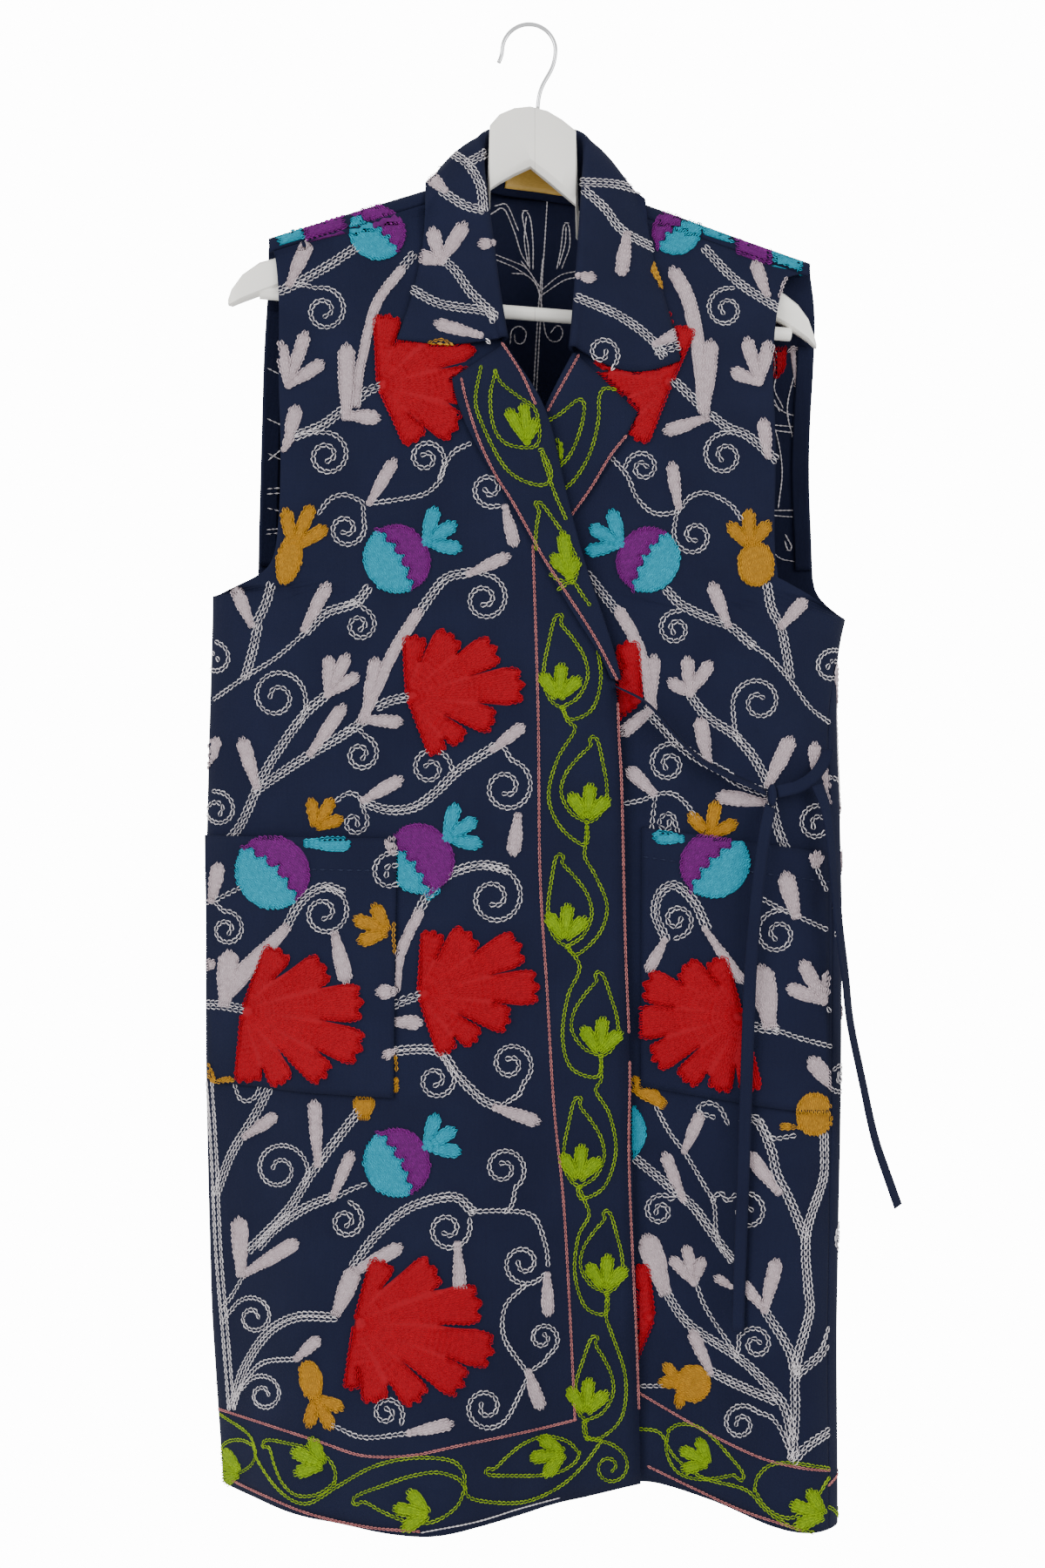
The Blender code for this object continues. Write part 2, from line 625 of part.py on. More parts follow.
for existing in list(bpy.data.objects):
    bpy.data.objects.remove(existing, do_unlink=True)

NAVY = material("navy_cotton", (0.018, 0.026, 0.066), 0.85)
NAVY_TIE = material("navy_cotton_tie", (0.016, 0.022, 0.056), 0.85)
LABEL_YELLOW = material("label_satin", (0.60, 0.38, 0.08), 0.6)
WHITE_WOOD = material("white_lacquered_wood", (0.80, 0.78, 0.74), 0.35)
CHROME = material("chrome", (0.75, 0.76, 0.78), 0.15, 1.0)

BODY_ROWS = [(height, height) for height in BODY_HEIGHTS]
# columns crowd towards the side, which is the sharpest bend
FRONT_COLUMNS = 1.0 - (1.0 - np.linspace(0.0, 1.0, 16)) ** 0.85

over_front = front_surface(
    BODY_ROWS + list(LEFT_FRONT_ROWS) + [(-0.1830, -0.1305)],
    FRONT_ARMHOLE_LEFT, OVER_EDGE, left_seam_angle, no_tuck,
)
over_rows = np.linspace(0.0, 1.0, len(BODY_ROWS) + len(LEFT_FRONT_ROWS) + 1)
cloth("front_over", over_front, FRONT_COLUMNS, over_rows, CLOTH, NAVY)

under_front = front_surface(
    BODY_ROWS + list(RIGHT_FRONT_ROWS) + [(-0.1800, -0.1370)],
    FRONT_ARMHOLE_RIGHT, UNDER_EDGE, right_seam_angle, under_tuck,
)
cloth("front_under", under_front, FRONT_COLUMNS, over_rows, CLOTH, NAVY, outward=-1.0)

top_left, top_right = BACK_ROWS[-1]
top_centre, top_half = body_width((top_left + top_right) / 2.0)
top_angles = np.pi - np.arcsin((np.array(BACK_TOP) - top_centre) / top_half)
back_columns = (top_angles - top_angles[0]) / (top_angles[-1] - top_angles[0])
back_rows = np.concatenate([
    np.linspace(0.0, 1.0, len(BODY_HEIGHTS) + len(BACK_ROWS)),
    1.0 + np.array([0.2, 0.4, 0.5, 0.6, 0.7, 0.8, 0.9, 1.0]),
])
cloth("back", back_surface, back_columns, back_rows, CLOTH, NAVY)

# lapels: height of a row at the roll line and at the free edge, from the crossing up to the notch
LAPEL_ROWS = (
    (-0.4935, -0.4930), (-0.4800, -0.4850), (-0.4600, -0.4720), (-0.4350, -0.4530), (-0.4050, -0.4290),
    (-0.3750, -0.4020), (-0.3450, -0.3720), (-0.3150, -0.3420), (-0.2900, -0.3130), (-0.2690, -0.2900),
    (-0.2495, -0.2765),
)
LEFT_LAPEL_EDGE = np.array([
    (-0.4997, 0.0570), (-0.4757, 0.0470), (-0.4416, 0.0239), (-0.4014, 0.0015), (-0.3759, -0.0120),
    (-0.3522, -0.0268), (-0.3222, -0.0461), (-0.2970, -0.0566), (-0.2807, -0.0610), (-0.2700, -0.0600),
])
RIGHT_LAPEL_EDGE = np.array([
    (-0.5200, -0.0530), (-0.4950, -0.0490), (-0.4600, -0.0200), (-0.4200, 0.0030), (-0.3780, 0.0255),
    (-0.3450, 0.0490), (-0.3200, 0.0660), (-0.3000, 0.0760), (-0.2900, 0.0770),
])
LAPEL_COLUMNS = np.concatenate([np.linspace(-1.0, 0.0, 5), [0.15, 0.36, 0.58, 0.80, 1.0]])
lapel_levels = np.linspace(0.0, 1.0, len(LAPEL_ROWS))
cloth(
    "lapel_over", lapel_surface(LAPEL_ROWS, LEFT_LAPEL_EDGE, OVER_EDGE, 1.0, no_tuck),
    LAPEL_COLUMNS, lapel_levels, CLOTH, NAVY, outward=-1.0, on=("front_over",), first_column=4,
)
RIGHT_LAPEL_ROWS = [(roll - 0.0045, outer - 0.0210) for roll, outer in LAPEL_ROWS]
cloth(
    "lapel_under", lapel_surface(RIGHT_LAPEL_ROWS, RIGHT_LAPEL_EDGE, UNDER_EDGE, -1.0, under_tuck),
    LAPEL_COLUMNS, lapel_levels, CLOTH, NAVY, on=("front_under",), first_column=4,
)

# how far a place is on the back; seam, roll and free edge; the fall's swelling; the notch's dip
COLLAR = (
    (0.0, -0.0235, -0.2465, -0.0225, -0.2450, -0.0520, -0.0996, -0.2475, 0.000, 0.004),
    (0.0, -0.0345, -0.2130, -0.0290, -0.1960, -0.0400, -0.0910, -0.2200, 0.001, 0.000),
    (0.0, -0.0435, -0.1800, -0.0335, -0.1520, -0.0260, -0.0845, -0.1900, 0.003, 0.000),
    (0.1, -0.0495, -0.1500, -0.0385, -0.1120, -0.0140, -0.0810, -0.1600, 0.005, 0.000),
    (0.6, -0.0465, -0.1180, -0.0395, -0.0830, -0.0010, -0.0795, -0.1225, 0.003, 0.000),
    (1.0, -0.0390, -0.1210, -0.0325, -0.0730, 0.0115, -0.0650, -0.1330, 0.004, 0.000),
    (1.0, -0.0230, -0.1220, -0.0170, -0.0680, 0.0190, -0.0340, -0.1390, 0.003, 0.000),
    (1.0, 0.0000, -0.1220, 0.0010, -0.0665, 0.0235, 0.0010, -0.1410, 0.003, 0.000),
    (1.0, 0.0230, -0.1250, 0.0190, -0.0675, 0.0240, 0.0360, -0.1430, 0.003, 0.000),
    (1.0, 0.0420, -0.1270, 0.0330, -0.0710, 0.0200, 0.0680, -0.1420, 0.003, 0.000),
    (0.5, 0.0505, -0.1225, 0.0395, -0.0820, 0.0110, 0.0815, -0.1275, 0.004, 0.000),
    (0.1, 0.0525, -0.1550, 0.0375, -0.1160, -0.0040, 0.0865, -0.1600, 0.007, 0.000),
    (0.0, 0.0460, -0.1840, 0.0350, -0.1560, -0.0180, 0.0930, -0.1890, 0.006, 0.000),
    (0.0, 0.0390, -0.2160, 0.0320, -0.1980, -0.0320, 0.1010, -0.2220, 0.002, 0.002),
    (0.0, 0.0280, -0.2525, 0.0285, -0.2500, -0.0430, 0.1080, -0.2560, 0.000, 0.014),
)
collar_columns = np.concatenate([
    np.linspace(0.0, STAND_SHARE, 3),
    np.linspace(STAND_SHARE, STAND_SHARE + FOLD_SHARE, 5)[1:],
    np.linspace(STAND_SHARE + FOLD_SHARE, 1.0, 5)[1:],
])
cloth("collar", collar_surface, collar_columns, np.linspace(0.0, 1.0, 31), COLLAR_CLOTH, NAVY, centred=True,
      on=("back", "front_over", "front_under"), first_column=6)

# pockets: their corners across and up, the mouth standing off the front
POCKET_GAPE = 0.0030
POCKETS = {
    "pocket_right": (
        "front_over",
        ((-0.2400, -0.7895), (-0.1010, -0.7940)),
        ((-0.2425, -0.6070), (-0.0995, -0.6085)),
        no_tuck,
    ),
    "pocket_left": (
        "front_under",
        ((0.0785, -0.7905), (0.2125, -0.8075)),
        ((0.0785, -0.6005), (0.2128, -0.6195)),
        under_tuck,
    ),
}


def pocket_lift(across, up):
    gape = np.sin(np.pi * np.clip(across, 0.0, 1.0)) * np.clip(up, 0.0, 1.0) ** 1.5
    return SEAM + CLOTH + POCKET_GAPE * gape


for pocket, (carrier, bottom, top, tuck) in POCKETS.items():
    on_front = patch((bottom, top), tuck)
    columns, rows = np.linspace(0.0, 1.0, 11), np.linspace(0.0, 1.0, 9)
    cloth(pocket, raised(on_front, pocket_lift), columns, rows, CLOTH, NAVY, on=(carrier,))


# facings: a narrow band inside the back along each armhole, height and place of its outer edge
FACING_WIDTH = 0.012
FACING_CLOTH = 0.0010


def facing_surface(armhole, inward, low, high):
    """A band on the back's inner face, across from the armhole to its free edge and from low up to high."""

    def surface(across, up):
        height = low + (high - low) * up
        x = edge_at(armhole, height) + inward * (0.0012 + FACING_WIDTH * across)
        return np.stack([x, back_y(x, height) - CLOTH - SEAM - FACET_ROOM, height], axis=-1)

    return surface


cloth("facing_left", facing_surface(BACK_ARMHOLE_RIGHT, -1.0, -0.405, -0.232), np.linspace(0.0, 1.0, 3),
      np.linspace(0.0, 1.0, 12), FACING_CLOTH, NAVY)
cloth("facing_right", facing_surface(BACK_ARMHOLE_LEFT, 1.0, -0.405, -0.222), np.linspace(0.0, 1.0, 3),
      np.linspace(0.0, 1.0, 12), FACING_CLOTH, NAVY, outward=-1.0)

# the label on the collar stand's inner side, by its corners' place along the neck and up the stand
LABEL_ALONG = (0.425, 0.590)
LABEL_UP = (0.030, 0.200)
LABEL_CLOTH = 0.0008


def label_surface(across, up):
    along = LABEL_ALONG[0] + (LABEL_ALONG[1] - LABEL_ALONG[0]) * across
    part = LABEL_UP[0] + (LABEL_UP[1] - LABEL_UP[0]) * up
    lift = COLLAR_CLOTH / 2.0 + SEAM + 0.0002 + LABEL_CLOTH / 2.0
    return collar_surface(part, along) - normals(collar_surface, part, along) * lift


label_columns, label_rows = np.linspace(0.0, 1.0, 7), np.linspace(0.0, 1.0, 3)
cloth("label", label_surface, label_columns, label_rows, LABEL_CLOTH, LABEL_YELLOW, centred=True)

# the two ties, knotted at the side: across, height, lift off the front and twist of the strip
TIE_WIDTH = 0.009
TIE_CLOTH = 0.0010
KNOT = (0.1713, -0.5774, 0.0085)
KNOT_HALF = (0.0042, 0.0085, 0.0042)
TIES = {
    "tie_over": (14, (
        (0.0599, -0.4990, -0.0004, 84.0), (0.0816, -0.5104, 0.0060, 78.0), (0.0999, -0.5325, 0.0075, 74.0),
        (0.1163, -0.5490, 0.0080, 68.0), (0.1300, -0.5585, 0.0080, 62.0), (0.1480, -0.5665, 0.0082, 64.0),
        (0.1671, -0.5752, 0.0085, 66.0),
    )),
    "tie_side": (10, (
        (0.1752, -0.5748, 0.0082, 10.0), (0.1850, -0.5728, 0.0085, 6.0), (0.1916, -0.5710, 0.0080, 0.0),
        (0.2030, -0.5640, 0.0085, 0.0), (0.2120, -0.5520, 0.0080, 10.0), (0.2150, -0.5440, 0.0050, 24.0),
    )),
    "tie_end_long": (18, (
        (0.1700, -0.5853, 0.0092, 20.0), (0.1650, -0.6030, 0.0160, 16.0), (0.1593, -0.6455, 0.0150, 10.0),
        (0.1549, -0.6942, 0.0135, 6.0), (0.1530, -0.7400, 0.0115, 8.0), (0.1512, -0.8000, 0.0090, 10.0),
        (0.1494, -0.8600, 0.0075, 12.0), (0.1475, -0.9150, 0.0070, 14.0), (0.1462, -0.9630, 0.0075, 18.0),
    )),
    "tie_end_side": (20, (
        (0.2050, -0.5698, 0.0092, 20.0), (0.2113, -0.5875, 0.0140, 30.0), (0.2145, -0.6160, 0.0190, 40.0),
        (0.2175, -0.6599, 0.0220, 45.0), (0.2229, -0.7050, 0.0260, 48.0), (0.2289, -0.7467, 0.0290, 50.0),
        (0.2369, -0.7850, 0.0290, 50.0), (0.2447, -0.8228, 0.0280, 48.0), (0.2530, -0.8480, 0.0270, 46.0),
        (0.2619, -0.8735, 0.0260, 44.0),
    )),
}
for tie, (tie_rings, route) in TIES.items():
    ribbon(tie, route, TIE_WIDTH, TIE_CLOTH, tie_rings, NAVY_TIE)

knot_y = float(front_y(np.array(KNOT[0]), np.array(KNOT[1]))) - KNOT[2]
knot_rings = []
for level in np.radians((-72.0, -40.0, 0.0, 40.0, 72.0)):
    turns = 2.0 * np.pi * np.arange(8) / 8
    knot_rings.append([
        (
            KNOT[0] + KNOT_HALF[0] * math.cos(level) * math.cos(turn),
            knot_y + KNOT_HALF[2] * math.cos(level) * math.sin(turn),
            KNOT[1] + KNOT_HALF[1] * math.sin(level),
        )
        for turn in turns
    ])
solid_from_rings("tie_knot", knot_rings, NAVY_TIE)

# hanger: place across, height of its top and of its underside, half its thickness, shift to the back
HANGER = (
    (-0.2222, -0.2180, -0.2220, 0.0025, 0.000), (-0.2195, -0.2105, -0.2225, 0.0045, 0.000),
    (-0.2120, -0.2000, -0.2190, 0.0055, 0.000), (-0.1997, -0.1905, -0.2138, 0.0055, 0.000),
    (-0.1881, -0.1867, -0.2085, 0.0055, 0.000), (-0.1700, -0.1790, -0.2010, 0.0055, 0.000),
    (-0.1400, -0.1640, -0.1870, 0.0055, 0.000), (-0.1050, -0.1475, -0.1710, 0.0050, 0.000),
    (-0.0700, -0.1360, -0.1590, 0.0032, 0.001), (-0.0520, -0.1345, -0.1560, 0.0028, 0.0055),
    (-0.0355, -0.1345, -0.1560, 0.0028, 0.0055), (-0.0350, -0.1200, -0.1560, 0.0028, 0.0040),
    (-0.0334, -0.0780, -0.1545, 0.0045, 0.001), (-0.0330, -0.0770, -0.1245, 0.0050, 0.001),
    (-0.0260, -0.0690, -0.1195, 0.0065, 0.000), (-0.0150, -0.0635, -0.1125, 0.0070, 0.000),
    (-0.0030, -0.0612, -0.1060, 0.0070, 0.000), (0.0100, -0.0635, -0.1155, 0.0070, 0.000),
    (0.0210, -0.0690, -0.1240, 0.0065, 0.000), (0.0312, -0.0760, -0.1319, 0.0050, 0.000),
    (0.0316, -0.0775, -0.1560, 0.0045, 0.001), (0.0332, -0.1200, -0.1570, 0.0028, 0.0040),
    (0.0337, -0.1350, -0.1570, 0.0028, 0.0050), (0.0520, -0.1370, -0.1590, 0.0028, 0.0050),
    (0.0700, -0.1390, -0.1620, 0.0032, 0.001), (0.1050, -0.1515, -0.1760, 0.0050, 0.000),
    (0.1400, -0.1690, -0.1930, 0.0055, 0.000), (0.1700, -0.1835, -0.2070, 0.0055, 0.000),
    (0.1922, -0.1944, -0.2180, 0.0055, 0.000), (0.2021, -0.2021, -0.2245, 0.0055, 0.000),
    (0.2099, -0.2130, -0.2300, 0.0055, 0.000), (0.2146, -0.2271, -0.2345, 0.0045, 0.000),
    (0.2163, -0.2325, -0.2355, 0.0025, 0.000),
)
HANGER_SECTION = (
    (-0.5, 0.0), (-1.0, 0.10), (-1.0, 0.90), (-0.5, 1.0), (0.5, 1.0), (1.0, 0.90), (1.0, 0.10), (0.5, 0.0),
)


def hanger_y(x, height):
    """The hanger lies midway between the vest's front and back at the shoulders."""
    return float(middle_y(np.array(x), np.array(height)))


hanger_rings = []
for x, top, under, half, shift in HANGER:
    y = hanger_y(x, (top + under) / 2.0) + shift
    hanger_rings.append([(x, y + half * side, top + (under - top) * drop) for side, drop in HANGER_SECTION])
hanger = solid_from_rings("hanger_body", hanger_rings, WHITE_WOOD)

BAR_RADIUS = 0.0052
BAR_ENDS = ((-0.2000, -0.2112), (0.1960, -0.2250))
bar_ends = np.array([(x, hanger_y(x, z), z) for x, z in BAR_ENDS])
bar_centres = bar_ends[0] + (bar_ends[1] - bar_ends[0]) * np.linspace(0.0, 1.0, 5)[:, None]
bar = tube("hanger_bar", bar_centres, BAR_RADIUS, 12, WHITE_WOOD)
joined = hanger.modifiers.new("with_bar", "BOOLEAN")
joined.operation = "UNION"
joined.object = bar
bpy.context.view_layer.update()
whole = bpy.data.meshes.new_from_object(hanger.evaluated_get(bpy.context.evaluated_depsgraph_get()))
hanger.modifiers.clear()
hanger.data = whole
bpy.data.objects.remove(bar, do_unlink=True)

# hook: the wire's centre line across and up, from its tip over the crest down to the block
HOOK_WIRE = 0.0017
HOOK_RADIUS = 0.0202
HOOK_CENTRE = (-0.0040, -0.0181)
HOOK_TIP = ((-0.0268, -0.0268), (-0.0252, -0.0235))
HOOK_STEM = (
    (0.0158, -0.0225), (0.0138, -0.0310), (0.0095, -0.0380), (0.0055, -0.0450), (0.0032, -0.0530),
    (0.0026, -0.0618),
)
crest = [
    (HOOK_CENTRE[0] + HOOK_RADIUS * math.cos(turn), HOOK_CENTRE[1] + HOOK_RADIUS * math.sin(turn))
    for turn in np.radians(np.linspace(184.0, 4.0, 17))
]
hook_line = np.array([(x, 0.0, z) for x, z in (*HOOK_TIP, *crest, *HOOK_STEM)])
tube("hanger_hook", hook_line, HOOK_WIRE, 8, CHROME)
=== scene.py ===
import math

import bmesh
import bpy
import numpy as np
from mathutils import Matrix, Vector
from mathutils.bvhtree import BVHTree
from mathutils.geometry import delaunay_2d_cdt


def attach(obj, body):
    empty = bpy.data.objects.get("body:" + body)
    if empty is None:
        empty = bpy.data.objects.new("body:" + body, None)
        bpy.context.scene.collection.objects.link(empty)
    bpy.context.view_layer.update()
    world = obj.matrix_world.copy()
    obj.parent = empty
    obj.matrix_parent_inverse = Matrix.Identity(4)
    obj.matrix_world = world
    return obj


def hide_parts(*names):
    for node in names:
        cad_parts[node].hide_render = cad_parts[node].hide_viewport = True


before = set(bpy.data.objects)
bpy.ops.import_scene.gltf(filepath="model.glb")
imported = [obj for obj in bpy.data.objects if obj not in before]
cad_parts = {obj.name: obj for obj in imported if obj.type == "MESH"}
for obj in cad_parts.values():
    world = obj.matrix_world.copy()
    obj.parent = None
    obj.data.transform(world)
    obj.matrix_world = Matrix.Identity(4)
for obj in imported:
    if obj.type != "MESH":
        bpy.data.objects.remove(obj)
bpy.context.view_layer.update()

# ---------------------------------------------------------------- where it is seen from
# The vest hangs level with the eye, 1.4 m away. The pattern's charts further down are ruled in the
# same squares as this view: CHART_SQUARES of them to each metre, one metre from the eye.
EYE = Vector((-0.0088425, -1.4, -0.569195))
CHART_SQUARES = 2137.4
CHART_MIDDLE = (600.0, 900.0)
FILM_SIDE = 36.0

front_view = bpy.data.cameras.new("front_camera")
front_view.sensor_width = FILM_SIDE
front_view.lens = CHART_SQUARES * FILM_SIDE / (2.0 * CHART_MIDDLE[1])
camera = bpy.data.objects.new("front_camera", front_view)
camera.location = EYE
camera.rotation_euler = (math.radians(90.0), 0.0, 0.0)
bpy.context.scene.collection.objects.link(camera)
bpy.context.scene.camera = camera

# ---------------------------------------------------------------- the room
# A pale floor below the hem, daylight from all round, and three large soft lamps.
FLOOR_HEIGHT = -1.75
FLOOR_HALF = 1.25
FLOOR_GREYS = ((0.93, 0.93, 0.93), (0.96, 0.96, 0.96))
FLOOR_CLOUDS = 3.0
DAYLIGHT = (1.0, 1.0, 1.0)
DAYLIGHT_STRENGTH = 1.15
BACKDROP_STRENGTH = 14.0
LAMPS = {
    # lamp: its place, its width and height, its watts
    "lamp_left": ((-1.7, -1.9, 0.5), (1.6, 1.6), 46.0),
    "lamp_right": ((1.8, -1.7, 0.2), (1.4, 1.4), 21.0),
    "lamp_behind": ((0.4, 1.9, 0.6), (1.6, 1.6), 26.0),
}
LAMP_AIM = Vector((0.0, 0.0, -0.55))


class Wire:
    """A socket of a finish. Sums and products of these add the Math nodes."""

    def __init__(self, finish, socket):
        self.finish = finish
        self.socket = socket

    def math(self, operation, other):
        return self.finish.node("ShaderNodeMath", {"operation": operation}, {0: self, 1: other})

    def __add__(self, other):
        return self.math("ADD", other)

    def __mul__(self, other):
        return self.math("MULTIPLY", other)

    __radd__ = __add__
    __rmul__ = __mul__


class Finish:
    """A material and the nodes that mix it."""

    def __init__(self, name, **constants):
        self.material = bpy.data.materials.new(name)
        self.material.use_nodes = True
        self.nodes = self.material.node_tree.nodes
        self.shader = self.nodes["Principled BSDF"]
        for socket, value in constants.items():
            self.shader.inputs[socket.replace("_", " ")].default_value = value

    def node(self, kind, settings, inputs, output=0):
        made = self.nodes.new(kind)
        for setting, value in settings.items():
            if setting == "stops":
                for stop, (place, colour) in zip(made.color_ramp.elements, value):
                    stop.position = place
                    stop.color = (*colour, 1.0)
            else:
                setattr(made, setting, value)
        for socket, value in inputs.items():
            self.feed(made.inputs[socket], value)
        return Wire(self, made.outputs[output])

    def feed(self, socket, value):
        if isinstance(value, Wire):
            self.material.node_tree.links.new(value.socket, socket)
        elif socket.type == "RGBA":
            socket.default_value = (*value, 1.0)
        else:
            socket.default_value = value

    def place(self):
        return self.node("ShaderNodeTexCoord", {}, {}, "Object")

    def noise(self, scale, detail=2.0, stretch=(1.0, 1.0, 1.0)):
        """Cloudy noise from 0 to 1; scale is in lumps to the metre, drawn out where stretch is small."""
        place = self.node("ShaderNodeMapping", {}, {"Vector": self.place(), "Scale": stretch})
        return self.node("ShaderNodeTexNoise", {}, {"Vector": place, "Scale": scale, "Detail": detail})

    def mix(self, share, first, second):
        """Two colours mixed: a Mix node takes them at its sockets 6 and 7 and gives one at its output 2."""
        return self.node("ShaderNodeMix", {"data_type": "RGBA"}, {0: share, 6: first, 7: second}, 2)

    def colour(self, value):
        self.feed(self.shader.inputs["Base Color"], value)

    def roughness(self, value):
        self.feed(self.shader.inputs["Roughness"], value)

    def bump(self, height, distance, strength=1.0):
        """Relief of that many metres for a height from 0 to 1."""
        inputs = {"Height": height, "Distance": distance, "Strength": strength}
        self.feed(self.shader.inputs["Normal"], self.node("ShaderNodeBump", {}, inputs, "Normal"))


def placed(name, data):
    """A new object in the scene, at the origin."""
    made = bpy.data.objects.new(name, data)
    bpy.context.scene.collection.objects.link(made)
    return made


floor_finish = Finish("pale_floor", Roughness=0.9)
floor_finish.colour(floor_finish.mix(floor_finish.noise(FLOOR_CLOUDS), *FLOOR_GREYS))
floor_mesh = bpy.data.meshes.new("floor")
floor_corners = [
    (side * FLOOR_HALF, back * FLOOR_HALF, FLOOR_HEIGHT)
    for side, back in ((-1, -1), (1, -1), (1, 1), (-1, 1))
]
floor_mesh.from_pydata(floor_corners, [], [(0, 1, 2, 3)])
floor_mesh.materials.append(floor_finish.material)
placed("floor", floor_mesh)

world = bpy.data.worlds.new("daylight")
world.use_nodes = True
daylight = world.node_tree.nodes["Background"]
backdrop = world.node_tree.nodes.new("ShaderNodeBackground")
for background, strength in ((daylight, DAYLIGHT_STRENGTH), (backdrop, BACKDROP_STRENGTH)):
    background.inputs["Color"].default_value = (*DAYLIGHT, 1.0)
    background.inputs["Strength"].default_value = strength
seen = world.node_tree.nodes.new("ShaderNodeLightPath")
either = world.node_tree.nodes.new("ShaderNodeMixShader")
world.node_tree.links.new(seen.outputs["Is Camera Ray"], either.inputs[0])
world.node_tree.links.new(daylight.outputs[0], either.inputs[1])
world.node_tree.links.new(backdrop.outputs[0], either.inputs[2])
world.node_tree.links.new(either.outputs[0], world.node_tree.nodes["World Output"].inputs["Surface"])
bpy.context.scene.world = world

for lamp_name, (lamp_place, lamp_size, lamp_watts) in LAMPS.items():
    lamp_data = bpy.data.lights.new(lamp_name, "AREA")
    lamp_data.shape = "RECTANGLE"
    lamp_data.size, lamp_data.size_y = lamp_size
    lamp_data.energy = lamp_watts
    lamp = placed(lamp_name, lamp_data)
    lamp.location = lamp_place
    lamp.rotation_euler = (LAMP_AIM - Vector(lamp_place)).to_track_quat("-Z", "Y").to_euler()

# ---------------------------------------------------------------- the hanger
# A flat wooden hanger sprayed white: two arms let into a middle block with a notch below, and a round
# bar across. The block is two halves glued together, so a fine joint shows down its middle.
WHITE_PAINT = (0.94, 0.92, 0.86)
CLOUDED_PAINT = (0.90, 0.88, 0.82)
PAINT_SHADOW = (0.30, 0.28, 0.26)
PAINT_CLOUDS = 40.0
PAINT_MOTTLE = 90.0
PAINT_GRAIN = 260.0
PAINT_GRAIN_STRETCH = (0.25, 1.0, 1.0)
PAINT_RELIEF = 0.00012
BLOCK_JOINT = (0.0004, 0.00025)
JOINT_SHADE = 0.45
HANGER_EDGE = 0.0016
EDGE_SEGMENTS = 3
HANGER_CREASE = 40.0
# angles in degrees: faces joined where flatter than the first two, an edge drawn sharp beyond the third
FLAT_FACES = 35.0
SQUARE_FACES = 60.0
SHARP_EDGE = 50.0
CLOSE_CORNERS = 1e-5


def softened(node, rounds, crease_angle, edge_radius=0.0):
    """A fine copy of a solid's plain form: its cut edges kept sharp, or rounded if a radius is given."""
    shape = bmesh.new()
    shape.from_mesh(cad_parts[node].data)
    bmesh.ops.remove_doubles(shape, verts=shape.verts, dist=CLOSE_CORNERS)
    bmesh.ops.join_triangles(
        shape, faces=shape.faces, angle_face_threshold=math.radians(FLAT_FACES),
        angle_shape_threshold=math.radians(SQUARE_FACES), cmp_seam=False, cmp_sharp=False, cmp_uvs=False,
    )
    crease = shape.edges.layers.float.new("crease_edge")
    for edge in shape.edges:
        if len(edge.link_faces) != 2 or edge.calc_face_angle(0.0) > math.radians(crease_angle):
            edge[crease] = 1.0
    coarse = bpy.data.meshes.new(node + "_coarse")
    shape.to_mesh(coarse)
    shape.free()
    made = placed(node + "_shown", coarse)
    if edge_radius:
        rounding = made.modifiers.new("rounding", "BEVEL")
        rounding.width = edge_radius
        rounding.segments = EDGE_SEGMENTS
        rounding.limit_method = "ANGLE"
        rounding.angle_limit = math.radians(crease_angle)
    if rounds:
        smoothing = made.modifiers.new("smoothing", "SUBSURF")
        smoothing.levels = smoothing.render_levels = rounds
    return settle(made)


def settle(made):
    """The object's modifiers worked into its mesh."""
    graph = bpy.context.evaluated_depsgraph_get()
    finished = bpy.data.meshes.new_from_object(made.evaluated_get(graph))
    made.modifiers.clear()
    made.data = finished
    finished.shade_smooth()
    finished.set_sharp_from_angle(angle=math.radians(SHARP_EDGE))
    return made


def dress(made, finish, *nodes):
    """Gives a piece its finish and its place on the frame, and hides the nodes that it stands for, if any.
    """
    made.data.materials.clear()
    made.data.materials.append(finish.material)
    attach(made, "root")
    if nodes:
        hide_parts(*nodes)
    return made


paint = Finish("white_lacquered_wood", Roughness=0.42, Coat_Weight=0.25, Coat_Roughness=0.2)
paint_cloud = paint.noise(PAINT_CLOUDS)
paint.roughness(0.36 + 0.12 * paint.noise(PAINT_MOTTLE))
paint.bump(paint.noise(PAINT_GRAIN, 3.0, PAINT_GRAIN_STRETCH), PAINT_RELIEF)
paint_place = paint.node("ShaderNodeSeparateXYZ", {}, {"Vector": paint.place()})
joint = paint.node(
    "ShaderNodeMath", {"operation": "COMPARE"}, {0: paint_place, 1: BLOCK_JOINT[0], 2: BLOCK_JOINT[1]}
)
clouded = paint.mix(paint_cloud, WHITE_PAINT, CLOUDED_PAINT)
paint.colour(paint.mix(JOINT_SHADE * joint, clouded, PAINT_SHADOW))
dress(softened("hanger_body", 0, HANGER_CREASE, HANGER_EDGE), paint, "hanger_body")

# ---------------------------------------------------------------- the hook
# A swivelling hook bent from chromed steel wire, screwed into the block.
CHROME = (0.72, 0.73, 0.75)
CHROME_SMEARS = 150.0
CHROME_PITTING = 900.0
CHROME_RELIEF = 0.00002
HOOK_ROUNDS = 2
HOOK_CREASE = 60.0
chrome = Finish("chromed_steel", Roughness=0.12, Metallic=1.0)
chrome.colour(CHROME)
chrome.roughness(0.10 + 0.10 * chrome.noise(CHROME_SMEARS))
chrome.bump(chrome.noise(CHROME_PITTING), CHROME_RELIEF)
dress(softened("hanger_hook", HOOK_ROUNDS, HOOK_CREASE), chrome, "hanger_hook")

